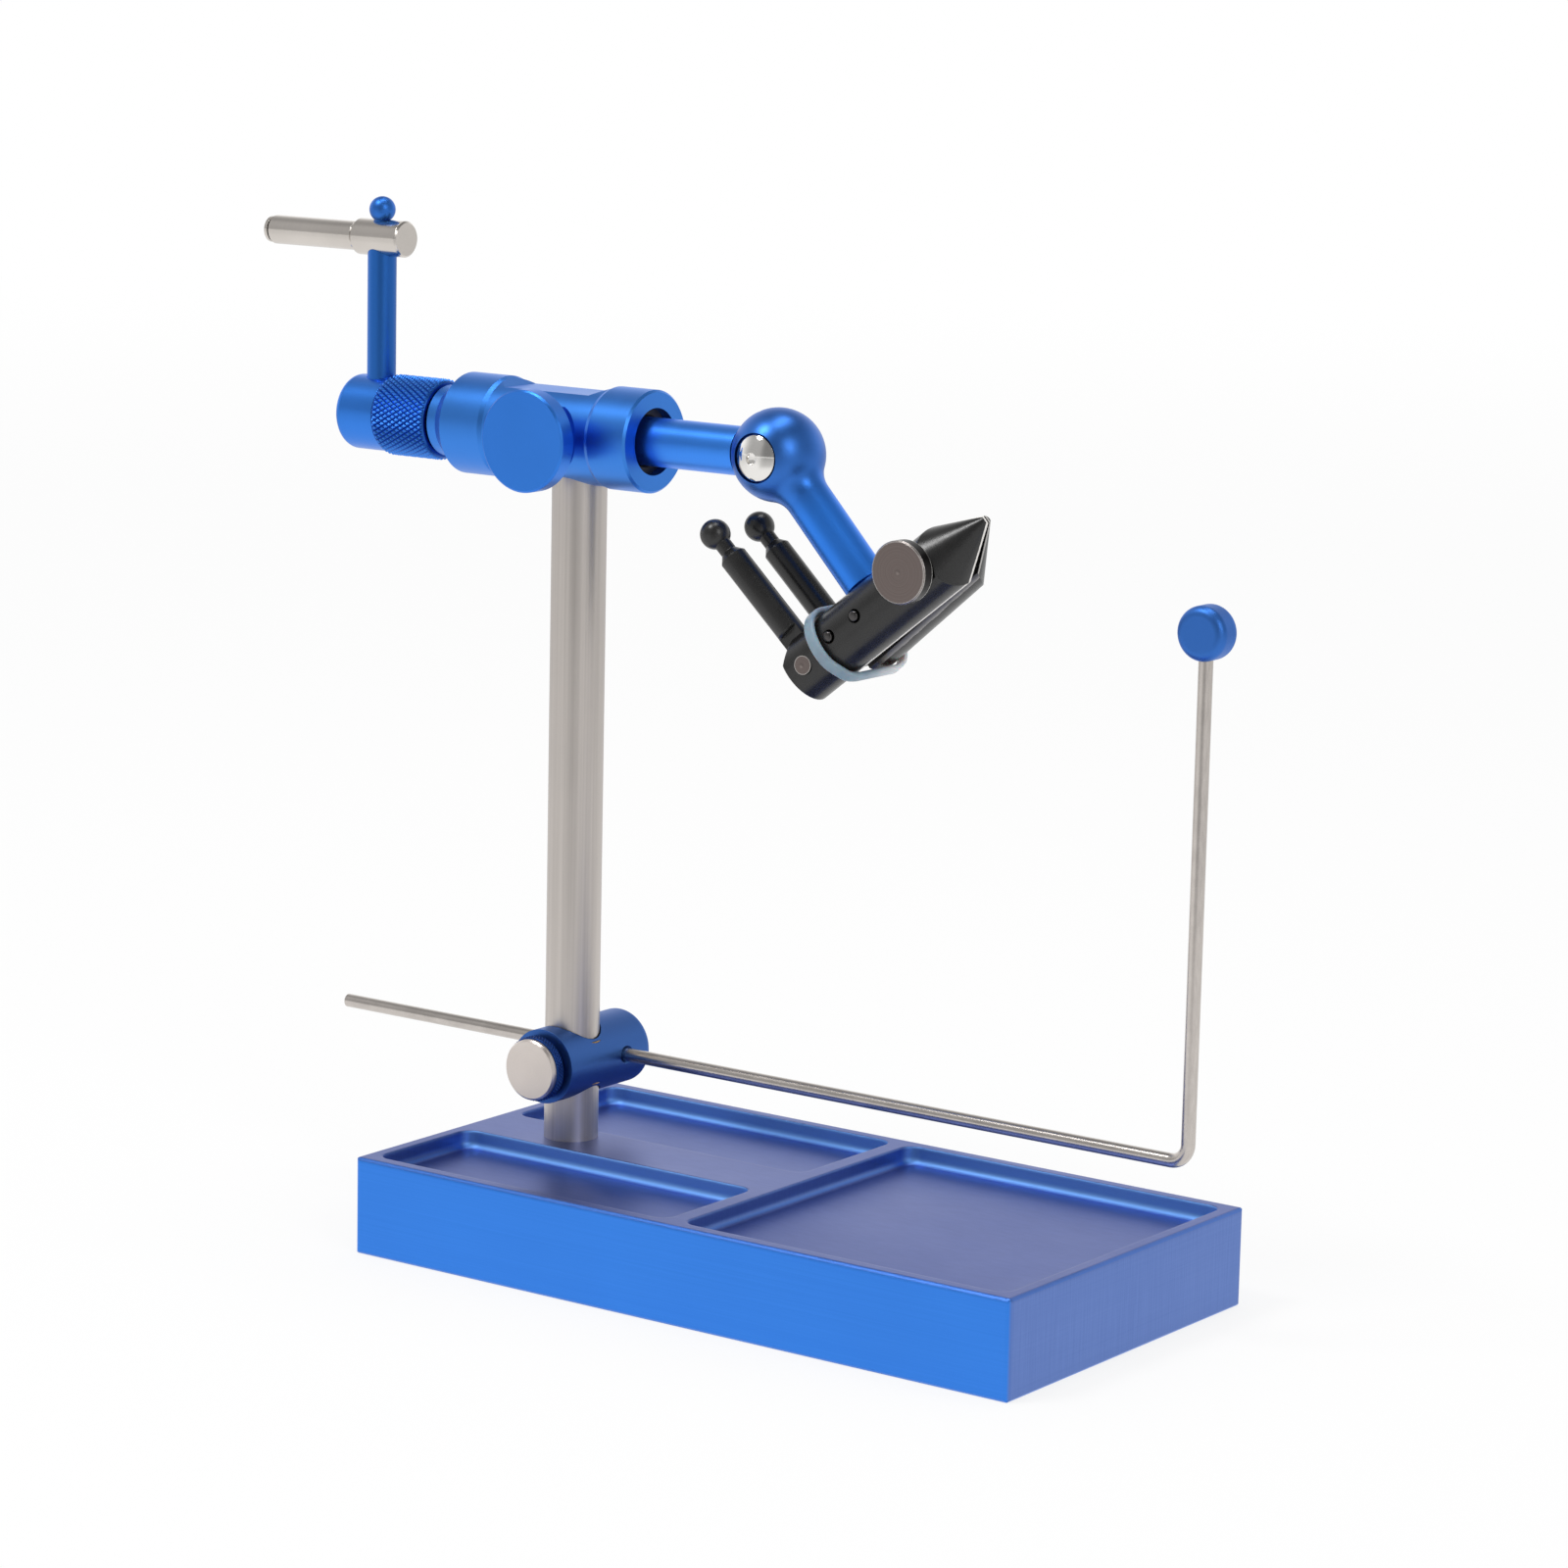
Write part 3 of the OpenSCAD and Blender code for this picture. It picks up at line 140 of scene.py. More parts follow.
# tools for materials
class Graph:
    """Short names for building a node tree."""

    def __init__(self, tree):
        self.tree = tree

    def put(self, node, key, value):
        socket = node.inputs[key]
        if isinstance(value, bpy.types.NodeSocket):
            self.tree.links.new(value, socket)
        elif isinstance(value, (tuple, list)) and len(value) == 3 and socket.type == "RGBA":
            socket.default_value = (*value, 1.0)
        else:
            socket.default_value = value

    def add(self, kind, inputs=None, **attrs):
        node = self.tree.nodes.new(kind)
        for key, value in attrs.items():
            setattr(node, key, value)
        for key, value in (inputs or {}).items():
            self.put(node, key, value)
        return node

    def math(self, op, a, b=0.0, c=0.0):
        return self.add("ShaderNodeMath", {0: a, 1: b, 2: c}, operation=op).outputs[0]

    def vec(self, op, a, b=None):
        node = self.add("ShaderNodeVectorMath", {0: a}, operation=op)
        if b is not None:
            self.put(node, 1, b)
        return node.outputs["Value" if op in ("DOT_PRODUCT", "LENGTH") else "Vector"]

    def spread(self, value, lo, hi, start=0.3, stop=0.7, soft=False):
        node = self.add("ShaderNodeMapRange", {0: value, 1: start, 2: stop, 3: lo, 4: hi})
        if soft:
            node.interpolation_type = "SMOOTHSTEP"
        return node.outputs[0]

    def mix(self, fac, a, b):
        return self.add("ShaderNodeMix", {0: fac, 6: a, 7: b}, data_type="RGBA").outputs[2]

    def seen(self):
        """1 for camera, glossy and transmission rays."""
        path = self.add("ShaderNodeLightPath").outputs
        first = self.math("MAXIMUM", path["Is Camera Ray"], path["Is Glossy Ray"])
        return self.math("MAXIMUM", first, path["Is Transmission Ray"])


class Paint(Graph):
    """A procedural material on the part's own coordinates, in metres."""

    def __init__(self, name, **sockets):
        self.mat = bpy.data.materials.new(name)
        self.mat.use_nodes = True
        super().__init__(self.mat.node_tree)
        self.shader = self.tree.nodes["Principled BSDF"]
        for key, value in sockets.items():
            self.put(self.shader, key.replace("_", " "), value)
        self.place = self.add("ShaderNodeTexCoord").outputs["Object"]

    def look(self, colour, rough, normal=None):
        self.put(self.shader, "Base Color", colour)
        self.put(self.shader, "Roughness", rough)
        if normal is not None:
            self.put(self.shader, "Normal", normal)
        return self.mat

    def noise(self, scale, detail=2.0, stretch=None, w=None, rough=0.5):
        if w is not None:
            node = self.add("ShaderNodeTexNoise", {"W": w}, noise_dimensions="1D")
        else:
            where = self.vec("MULTIPLY", self.place, stretch) if stretch else self.place
            node = self.add("ShaderNodeTexNoise", {"Vector": where})
        self.put(node, "Scale", scale)
        self.put(node, "Detail", detail)
        self.put(node, "Roughness", rough)
        return node.outputs["Fac"]

    def bump(self, height, strength, distance, under=None):
        node = self.add("ShaderNodeBump", {"Height": height, "Strength": strength, "Distance": distance})
        if under is not None:
            self.put(node, "Normal", under)
        return node.outputs["Normal"]

    def facing(self, axis):
        """How far the surface faces along an axis of the part."""
        normal = self.add("ShaderNodeTexCoord").outputs["Normal"]
        return self.vec("DOT_PRODUCT", normal, tuple(axis))

    def off_axis(self, centre, axis):
        """Distance from a line, and place along it."""
        rel = self.vec("SUBTRACT", self.place, tuple(centre))
        out = self.vec("LENGTH", self.vec("CROSS_PRODUCT", rel, tuple(axis)))
        return out, self.vec("DOT_PRODUCT", rel, tuple(axis))

    def lathe(self, centre, axis, pitch):
        """Marks of turning: rings round the axis on sides and faces alike."""
        out, along = self.off_axis(centre, axis)
        place = self.math("MULTIPLY_ADD", out, 1.13, along)
        return self.noise(1.0, 3.0, w=self.math("DIVIDE", place, pitch), rough=0.65)

    def soft_edges(self, radius):
        return self.add("ShaderNodeBevel", {"Radius": radius}, samples=6).outputs["Normal"]

    def edge(self, radius):
        """Near 1 on sharp outer edges, near 0 on open faces."""
        plain = self.add("ShaderNodeNewGeometry").outputs["Normal"]
        return self.math("SUBTRACT", 1.0, self.vec("DOT_PRODUCT", self.soft_edges(radius), plain))


def anodised(name, centre, axis, colour=BLUE, rough=0.36, soft=0.00012, groove_shade=None, far=None, painted_light_from=None):
    """Satin aluminium under a blue layer, with faint marks of turning.

    groove_shade: two radii between which a knurl is painted darker towards its grooves, as painted shade
    in the grooves.
    far: another colour and the two places along the axis between which it takes over.
    painted_light_from: the direction that a round side is painted paler towards; the side turned away is
    painted in shade.
    """
    p = Paint(name, Metallic=1.0)
    marks = p.lathe(centre, axis, 0.00030)
    cloud = p.noise(55.0, 3.0)
    grain = p.noise(3800.0, 2.0)
    deep = tuple(c * 0.93 for c in colour)
    tint = p.math("MULTIPLY_ADD", marks, 0.25, p.math("MULTIPLY", cloud, 0.75))
    rough_now = p.math("ADD", p.spread(cloud, rough - 0.02, rough + 0.03), p.spread(grain, -0.02, 0.02))
    normal = p.bump(grain, 0.10, 0.00002, p.soft_edges(soft) if soft else None)
    normal = p.bump(marks, 0.05, 0.00003, normal)
    tone = p.mix(p.spread(tint, 0.0, 1.0, 0.35, 0.65), deep, colour)
    out, run = p.off_axis(centre, axis)
    # painted shade: the knurl darkens towards the bottom of its grooves
    if groove_shade:
        tone = p.mix(p.spread(out, 0.80, 0.0, *groove_shade), tone, GROOVE_SHADE_BLUE)
    if far:
        tone = p.mix(p.spread(run, 0.0, 1.0, *far[1:], soft=True), tone, far[0])
    # painted light and shade: a round side is darkened to 0.62 of its colour away from the given
    # direction
    if painted_light_from:
        side = p.spread(p.facing(painted_light_from), 1.0, 0.0, -0.1, 0.75, soft=True)
        tone = p.mix(side, tone, tuple(c * 0.62 for c in colour))
    return p.look(tone, rough_now, normal)


def base_finish():
    """Brushed long sides, milled end faces and tray floors, with painted light: the end and upward faces
    carry a greyer, darker tone as a painted reflection, and tray walls facing the front a painted
    highlight.
    """
    p = Paint("base_anodised", Metallic=1.0)
    along = p.noise(1.0, 4.0, (16.0, 16.0, 2600.0), rough=0.6)
    upright = p.noise(1.0, 3.0, (60.0, 2600.0, 60.0), rough=0.6)
    milled = p.noise(1.0, 4.0, (260.0, 900.0, 260.0), rough=0.6)
    cloud = p.noise(24.0, 3.0)
    up = p.spread(p.facing(Z_AXIS), 0.0, 1.0, 0.55, 0.95)
    end = p.spread(p.math("ABSOLUTE", p.facing(X_AXIS)), 0.0, 1.0, 0.6, 0.9)
    side = p.math("SUBTRACT", 1.0, p.math("MAXIMUM", up, end))
    tone = p.mix(p.spread(along, 0.0, 1.0), (0.043, 0.222, 0.77), (0.049, 0.245, 0.82))
    # painted reflection: end faces get a greyer, darker tone than the sides
    end_finish_and_reflection = p.mix(p.spread(upright, 0.0, 1.0), (0.115, 0.200, 0.51), (0.135, 0.230, 0.56))
    tone = p.mix(end, tone, end_finish_and_reflection)
    # painted reflection: upward faces, the tray floors among them, get a greyer, darker tone
    up_finish_and_reflection = p.mix(p.spread(milled, 0.0, 1.0), (0.110, 0.152, 0.41), (0.124, 0.172, 0.45))
    tone = p.mix(up, tone, up_finish_and_reflection)
    # painted highlight: walls behind the front face that face the front are painted pale blue and made
    # rougher
    y = p.vec("DOT_PRODUCT", p.place, tuple(Y_AXIS))
    behind = p.spread(y, 0.0, 1.0, BASE_FRONT_Y + 0.001, BASE_FRONT_Y + 0.003)
    cove_highlight = p.math("MULTIPLY", behind, p.spread(p.facing(Y_AXIS), 1.0, 0.0, -0.85, -0.15))
    tone = p.mix(cove_highlight, tone, COVE_HIGHLIGHT_BLUE)
    tone = p.mix(p.spread(cloud, 0.0, 0.10), tone, (0.03, 0.11, 0.42))
    rough = p.math("MULTIPLY_ADD", p.math("MAXIMUM", up, end), 0.06, p.spread(along, 0.30, 0.38))
    rough = p.math("MULTIPLY_ADD", cove_highlight, 0.20, rough)
    normal = p.bump(milled, 0.05, 0.00004, p.soft_edges(0.0009))
    normal = p.bump(p.math("MULTIPLY", upright, end), 0.10, 0.00003, normal)
    normal = p.bump(p.math("MULTIPLY", along, side), 0.14, 0.00004, normal)
    return p.look(tone, rough, normal)


def steel(name, centre, axis, colour=STEEL, rough=0.22, depth=0.10):
    p = Paint(name, Metallic=1.0)
    marks = p.lathe(centre, axis, 0.00022)
    cloud = p.noise(70.0, 3.0)
    dark = tuple(c * 0.88 for c in colour)
    tint = p.math("MULTIPLY_ADD", marks, 0.4, p.math("MULTIPLY", cloud, 0.6))
    normal = p.bump(marks, depth, 0.00003, p.soft_edges(0.00012))
    tone = p.mix(p.spread(tint, 0.0, 1.0, 0.35, 0.65), dark, colour)
    return p.look(tone, p.spread(marks, rough - 0.03, rough + 0.05), normal)


def drawn_steel(name, stretch, colour=STEEL, rough=0.32):
    """Bar stock with fine marks that run along it."""
    p = Paint(name, Metallic=1.0)
    lines = p.noise(1.0, 4.0, stretch, rough=0.6)
    cloud = p.noise(40.0, 3.0)
    dark = tuple(c * 0.84 for c in colour)
    tint = p.math("MULTIPLY_ADD", lines, 0.7, p.math("MULTIPLY", cloud, 0.3))
    tone = p.mix(p.spread(tint, 0.0, 1.0, 0.36, 0.64), dark, colour)
    normal = p.bump(lines, 0.16, 0.00003)
    return p.look(tone, p.spread(cloud, rough - 0.02, rough + 0.03), normal)


def worn_screw(name, centre, colour=SCREW_BROWN, rim_level=0.85):
    """Brown grey turned face with a bright rim and a centre mark."""
    p = Paint(name, Metallic=1.0)
    marks = p.lathe(centre, Y_AXIS, 0.00030)
    out = p.off_axis(centre, Y_AXIS)[0]
    rim = p.math("MULTIPLY", p.spread(p.edge(0.00035), 0.0, 1.0, 0.01, 0.08), rim_level)
    pip = p.spread(out, 1.0, 0.0, 0.0, 0.0006, soft=True)
    deep = tuple(c * 0.80 for c in colour)
    tone = p.mix(p.spread(marks, 0.0, 1.0), deep, colour)
    side = p.spread(p.math("ABSOLUTE", p.facing(Y_AXIS)), 1.0, 0.0, 0.3, 0.6)
    tone = p.mix(side, tone, SCREW_SIDE)
    tone = p.mix(rim, tone, SCREW_RIM)
    tone = p.mix(p.math("MULTIPLY", pip, 0.25), tone, SCREW_MARK)
    normal = p.bump(pip, 0.6, 0.0002, p.bump(marks, 0.20, 0.00004))
    return p.look(tone, p.spread(marks, 0.28, 0.40), normal)


def inner_face(node):
    """A point and the outward normal of the large flat face between the jaws."""
    mesh = nodes[node].data
    side = 1.0 if middle(node).y < 0 else -1.0
    face = max((f for f in mesh.polygons if f.normal.y * side > 0.98), key=lambda f: f.area)
    return nodes[node].matrix_world @ face.center, face.normal.copy()


def black_oxide(name, wear_and_glint=0.0, plane=None):
    """Glossy blackened steel, rubbed bright on its sharp edges or round one flat face; the rubbed places
    are wear and also a painted highlight, near-white and barely metallic.
    """
    p = Paint(name, Specular_IOR_Level=0.55)
    patch = p.noise(120.0, 4.0, rough=0.6)
    grain = p.noise(2600.0, 2.0)
    tone = p.mix(p.spread(patch, 0.0, 1.0), (0.0080, 0.0078, 0.0080), (0.0130, 0.0126, 0.0126))
    if plane:
        spot, out = plane
        deep = p.vec("DOT_PRODUCT", p.vec("SUBTRACT", tuple(spot), p.place), tuple(out))
        width = p.spread(p.facing(JAW_AXIS), 0.0014, 0.0006, 0.0, 0.5)
        line = p.math("LESS_THAN", deep, p.math("MULTIPLY", width, p.spread(patch, 0.8, 1.15)))
        aside = p.spread(p.facing(out), 1.0, 0.0, 0.3, 0.6)
        place = p.vec("DOT_PRODUCT", p.place, tuple(JAW_AXIS))
        tail = JAW_PIN.dot(JAW_AXIS)
        ahead = p.spread(place, 0.0, wear_and_glint, tail - 0.012, tail - 0.009)
        rub_and_glint = p.math("MULTIPLY", p.math("MULTIPLY", line, aside), ahead)
    else:
        sharp = p.spread(p.edge(0.0005), 0.0, wear_and_glint, 0.09, 0.17)
        rub_and_glint = p.math("MULTIPLY", sharp, p.spread(patch, 0.7, 1.0))
    # wear and painted highlight: rubbed places turn near-white and only slightly metallic, so they read
    # as bright edge lines
    tone = p.mix(rub_and_glint, tone, WEAR_AND_GLINT_STEEL)
    p.put(p.shader, "Metallic", p.math("MULTIPLY", rub_and_glint, 0.15))
    rough = p.math("ADD", p.spread(patch, 0.24, 0.31), p.spread(grain, -0.02, 0.03))
    rough = p.math("MULTIPLY_ADD", rub_and_glint, 0.15, rough)
    return p.look(tone, rough, p.bump(grain, 0.05, 0.00003, p.soft_edges(0.00030)))


def polymer(name):
    p = Paint(name, Specular_IOR_Level=0.4)
    speck = p.noise(1500.0, 3.0)
    tone = p.mix(p.spread(speck, 0.0, 1.0), (0.012, 0.011, 0.012), (0.030, 0.027, 0.026))
    return p.look(tone, p.spread(speck, 0.42, 0.58), p.bump(speck, 0.10, 0.00004))


def elastic(name):
    """Milky rubber with painted light and shade: bluer and darker in front as painted shade, paler
    towards the back as painted light, and clearer there.
    """
    p = Paint(name, Subsurface_Weight=0.35, Subsurface_Scale=0.003, Specular_IOR_Level=0.4, IOR=1.42)
    cloud = p.noise(300.0, 4.0, rough=0.6)
    fine = p.noise(2600.0, 2.0)
    # painted light and shade: the back of the band is coloured as if lit, the front as if shaded
    back = p.spread(p.vec("DOT_PRODUCT", p.place, tuple(Y_AXIS)), 0.0, 1.0, -0.004, 0.010, soft=True)
    shaded_front_tone = p.mix(p.spread(cloud, 0.0, 1.0), (0.20, 0.29, 0.37), (0.26, 0.36, 0.43))
    lit_back_tone = p.mix(p.spread(cloud, 0.0, 1.0), (0.80, 0.84, 0.88), (0.86, 0.89, 0.92))
    p.put(p.shader, "Transmission Weight", p.math("MULTIPLY", back, 0.18))
    normal = p.bump(fine, 0.10, 0.00005, p.bump(cloud, 0.10, 0.00020))
    return p.look(p.mix(back, shaded_front_tone, lit_back_tone), p.spread(fine, 0.30, 0.44), normal)


def dress(node, material):
    for slot in nodes[node].material_slots:
        slot.material = material


dress("base", base_finish())
dress("housing", anodised("housing_anodised", HEAD, X_AXIS, HOUSING_BLUE, soft=None))
dress("tension_knob", anodised("knob_anodised", middle("tension_knob"), Y_AXIS, rough=0.36))
dress("rotary_shaft", anodised("shaft_anodised", HEAD, X_AXIS, SHAFT_BLUE))
dress("crank_hub", anodised("hub_anodised", HEAD, X_AXIS, rough=0.31))
# the crank arm is painted in shade on its side away from -X
dress("crank_arm", anodised("crank_anodised", CRANK, Z_AXIS, painted_light_from=-X_AXIS))
dress("crank_ball", anodised("ball_nut_anodised", middle("crank_ball"), Z_AXIS, MID_BLUE, 0.42))
beyond_ball = (ARM_BLUE, 0.006, 0.018)
dress("head_arm", anodised("arm_anodised", BALL, ARM_AXIS, BALL_BLUE, 0.38, far=beyond_ball))
dress("bobbin_clamp_body", anodised("clamp_anodised", CLAMP, Y_AXIS, CLAMP_BLUE, 0.42))
REST = middle("bobbin_rest_disc")
dress("bobbin_rest_disc", anodised("rest_anodised", REST, Y_AXIS, REST_BLUE, 0.45))
dress("post", drawn_steel("post_steel", (1700.0, 1700.0, 9.0), rough=0.38))
dress("bobbin_rod", drawn_steel("rod_steel", (260.0, 1700.0, 260.0), rough=0.22))
for node in ("handle_spindle", "handle_sleeve", "handle_retaining_ring"):
    dress(node, steel(node + "_steel", HANDLE, X_AXIS, HANDLE_STEEL, 0.17))
dress("joint_nut", steel("joint_nut_steel", BALL, Y_AXIS, rough=0.16))
for node in ("lever_pin_front", "lever_pin_rear"):
    dress(node, worn_screw(node + "_face", middle(node), rim_level=0.6))
dress("thumb_screw", steel("thumb_screw_steel", CLAMP, Y_AXIS, THUMB_STEEL, 0.32, 0.12))
dress("bobbin_clamp_sleeve", steel("clamp_sleeve_bronze", POST, Z_AXIS, BRONZE, 0.3))
dress("tension_plug", steel("plug_bronze", middle("tension_plug"), Y_AXIS, BRONZE, 0.3))
dress("rear_bush", steel("rear_bush_bronze", HEAD, X_AXIS, BRONZE, 0.3))
dress("front_bush", polymer("front_bush_polymer"))
dress("post_bolt", black_oxide("post_bolt_oxide", 0.2))
dress("collar_grub_screw", black_oxide("grub_oxide", 0.2))
dress("jaw_front", black_oxide("jaw_front_oxide", 1.0, inner_face("jaw_front")))
dress("jaw_rear", black_oxide("jaw_rear_oxide", 0.5, inner_face("jaw_rear")))
dress("lever_front", black_oxide("lever_front_oxide"))
dress("lever_rear", black_oxide("lever_rear_oxide"))


# pieces made here
def add_piece(name, bm, material, body, slot, *replaced, smooth):
    bmesh.ops.recalc_face_normals(bm, faces=bm.faces)
    mesh = bpy.data.meshes.new(name)
    bm.to_mesh(mesh)
    bm.free()
    obj = bpy.data.objects.new(name, mesh)
    scene.collection.objects.link(obj)
    mesh.materials.append(material)
    mesh.shade_smooth()
    mesh.set_sharp_from_angle(angle=math.radians(smooth))
    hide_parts(*replaced)
    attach(obj, body)
    return obj


def circle_of(bm, centre, u, v, count, radius):
    """Vertices round a centre; the radius may change from one to the next."""
    ring = []
    for i in range(count):
        turn = 2 * math.pi * i / count
        out = u * math.cos(turn) + v * math.sin(turn)
        ring.append(bm.verts.new(centre + out * (radius(i) if callable(radius) else radius)))
    return ring


def knurled(start, axis, length, r, bore, chamfer, cells, rows, depth, fine, step=None):
    """A ring whose outer face is cut by two sets of crossing V grooves."""
    side = Z_AXIS if abs(axis.z) < 0.9 else X_AXIS
    u = side.cross(axis).normalized()
    v = axis.cross(u)
    bm = bmesh.new()
    around, along = cells * fine, round(rows * fine)

    def teeth(i, j):
        """Height above the two sets of grooves, 0 in a groove and 1 between two."""
        return tuple(1.0 - abs(2 * (k / fine % 1.0) - 1) for k in (i + j, i - j))

    back = step[1] if step else 0.0
    loops = [circle_of(bm, start - axis * back, u, v, around, bore)]
    if step:
        loops.append(circle_of(bm, start - axis * back, u, v, around, step[0]))
        loops.append(circle_of(bm, start, u, v, around, step[0]))
    for j in range(along + 1):
        place = j / along * length
        cap = r - max(0.0, chamfer - min(place, length - place))

        def radius(i):
            return min(cap, r - depth * (1.0 - min(min(teeth(i, j)) / 0.92, 1.0)))

        loops.append(circle_of(bm, start + axis * place, u, v, around, radius))
    loops.append(circle_of(bm, start + axis * length, u, v, around, bore))
    first = len(loops) - along - 2
    for n, (lower, upper) in enumerate(zip(loops, loops[1:] + loops[:1])):
        for i in range(around):
            k = (i + 1) % around
            ring = (lower[i], lower[k], upper[k], upper[i])
            if not first <= n < first + along:
                bm.faces.new(ring)
                continue
            one, other = teeth(i + 0.5, n - first + 0.5)
            turn = 1 if one < other else 0
            a, b, c, d = ring[turn:] + ring[:turn]
            bm.faces.new((a, b, c))
            bm.faces.new((a, c, d))
    return bm


def turned(start, axis, profile, count):
    """A closed solid of revolution from (place along the axis, radius) points."""
    side = Z_AXIS if abs(axis.z) < 0.9 else X_AXIS
    u = side.cross(axis).normalized()
    v = axis.cross(u)
    bm = bmesh.new()
    loops = [circle_of(bm, start + axis * along, u, v, count, r) for along, r in profile]
    for lower, upper in zip(loops, loops[1:]):
        for i in range(count):
            k = (i + 1) % count
            bm.faces.new((lower[i], lower[k], upper[k], upper[i]))
    bm.faces.new(loops[0])
    bm.faces.new(loops[-1])
    return bm


def drill(obj, centre, axis, r, reach):
    """Cuts a round hole into a finished piece."""
    bm = bmesh.new()
    turn = Z_AXIS.rotation_difference(axis).to_matrix().to_4x4()
    place = Matrix.Translation(centre) @ turn
    size = {"segments": 48, "radius1": r, "radius2": r, "depth": reach}
    bmesh.ops.create_cone(bm, cap_ends=True, matrix=place, **size)
    mesh = bpy.data.meshes.new("drill")
    bm.to_mesh(mesh)
    bm.free()
    tool = bpy.data.objects.new("drill", mesh)
    scene.collection.objects.link(tool)
    mod = obj.modifiers.new("drill", "BOOLEAN")
    mod.operation = "DIFFERENCE"
    mod.object = tool
    mod.solver = "EXACT"
    bpy.context.view_layer.update()
    deps = bpy.context.evaluated_depsgraph_get()
    fresh = bpy.data.meshes.new_from_object(obj.evaluated_get(deps))
    obj.modifiers.clear()
    obj.data = fresh
    bpy.data.objects.remove(tool)


def make_collar():
    """The collar with its crossed knurl and the hole for the grub screw."""
    low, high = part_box("knurled_collar")
    r = (high.z - low.z) / 2
    bm = knurled(Vector((low.x, 0, HEAD.z)), X_AXIS, high.x - low.x, r, 4.05 * MM, 0.8 * MM,
                 cells=46, rows=7, depth=0.55 * MM, fine=8)
    # radii of the painted shade in the knurl's grooves
    groove_shade = (r - 0.55 * MM, r - 0.22 * MM)
    mat = anodised("collar_anodised", HEAD, X_AXIS, COLLAR_BLUE, 0.34, soft=None, groove_shade=groove_shade)
    collar = add_piece("collar_knurling", bm, mat, "rotor", "blue_anodised", "knurled_collar", smooth=26)
    grub_r = 2.02 * MM
    drill(collar, Vector((HEAD.x, r * 0.8, HEAD.z)), Y_AXIS, grub_r, r * 1.2)


def make_thumb_ring():
    """The ring behind the thumb screw face, with a fine knurl and a step."""
    low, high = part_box("thumb_ring")
    step = (6.0 * MM, 1.0 * MM)
    length = high.y - low.y - step[1]
    start = Vector((CLAMP.x, high.y - step[1], CLAMP.z))
    r = (high.z - low.z) / 2
    bm = knurled(start, -Y_AXIS, length, r, 2.5 * MM, 0.3 * MM,
                 cells=60, rows=2, depth=0.28 * MM, fine=6, step=step)
    mat = anodised("ring_anodised", CLAMP, Y_AXIS, RING_BLUE)
    slot = "dark_blue_anodised"
    add_piece("thumb_ring_knurling", bm, mat, "thumb_screw", slot, "thumb_ring", smooth=26)


def make_joint_screw():
    """Polished domed head with a small socket, on the shank that holds the joint."""
    low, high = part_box("joint_screw")
    head_r, rim, rise, socket_r = 4.85 * MM, 8.3 * MM, 1.7 * MM, 1.25 * MM
    dome_r = (head_r ** 2 + rise ** 2) / (2 * rise)
    shank_r, seat = 2.5 * MM, 5.5 * MM
    profile = [(-high.y, shank_r), (seat, shank_r), (seat, head_r)]
    for i in range(17):
        r = head_r + (socket_r - head_r) * i / 16
        profile.append((rim + rise - dome_r + math.sqrt(dome_r ** 2 - r ** 2), r))
    profile.append((rim + rise - 0.8 * MM, socket_r * 0.92))
    profile.append((rim + rise - 1.0 * MM, socket_r * 0.3))
    mat = steel("joint_screw_steel", BALL, Y_AXIS, POLISHED_STEEL, 0.09, 0.03)
    bm = turned(Vector((BALL.x, 0, BALL.z)), -Y_AXIS, profile, 64)
    add_piece("joint_screw_dome", bm, mat, "arm", "stainless", "joint_screw", smooth=35)


def make_clamp_screw():
    """Wide thin turned head on the shank through both jaws."""
    low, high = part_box("jaw_clamp_screw")
    head_r, boss_r, shank_r, soft = 6.6 * MM, 5.4 * MM, 2.5 * MM, 0.25 * MM
    face = -low.y
    rim, seat = face - 2.85 * MM, face - 4 * MM
    profile = [(face, head_r - soft), (face - soft, head_r), (rim, head_r), (rim, boss_r)]
    profile += [(seat, boss_r), (seat, shank_r), (-high.y, shank_r)]
    bm = turned(Vector((CLAMP_SCREW.x, 0, CLAMP_SCREW.z)), -Y_AXIS, profile, 96)
    mat = worn_screw("clamp_screw_face", CLAMP_SCREW)
    name = "jaw_clamp_screw_turned"
    add_piece(name, bm, mat, "clamp_screw", "stainless", "jaw_clamp_screw", smooth=35)


def make_pin(node, name, mat):
    """A cross pin of the jaws with a low domed front end and a chamfered back end."""
    low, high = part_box(node)
    spot, r, rise = middle(node), (high.z - low.z) / 2, 0.45 * MM
    profile = []
    for i in range(1, 9):
        turn = math.pi / 2 * i / 8
        profile.append((-low.y + rise * math.cos(turn), r * math.sin(turn)))
    profile += [(-high.y + 0.2 * MM, r), (-high.y, r * 0.85)]
    bm = turned(Vector((spot.x, 0, spot.z)), -Y_AXIS, profile, 48)
    add_piece(name, bm, mat, "arm", "stainless", node, smooth=50)


def band_path():
    """Centre line of the band, in mm across both round jaw tails: y, rise and direction."""
    path, r = [], 8.1
    for centre, first in ((-5.02, 0.5), (7.52, 1.5)):
        for i in range(41):
            turn = math.pi * (first + i / 40)
            path.append((centre + r * math.cos(turn), r * math.sin(turn), turn))
    return path


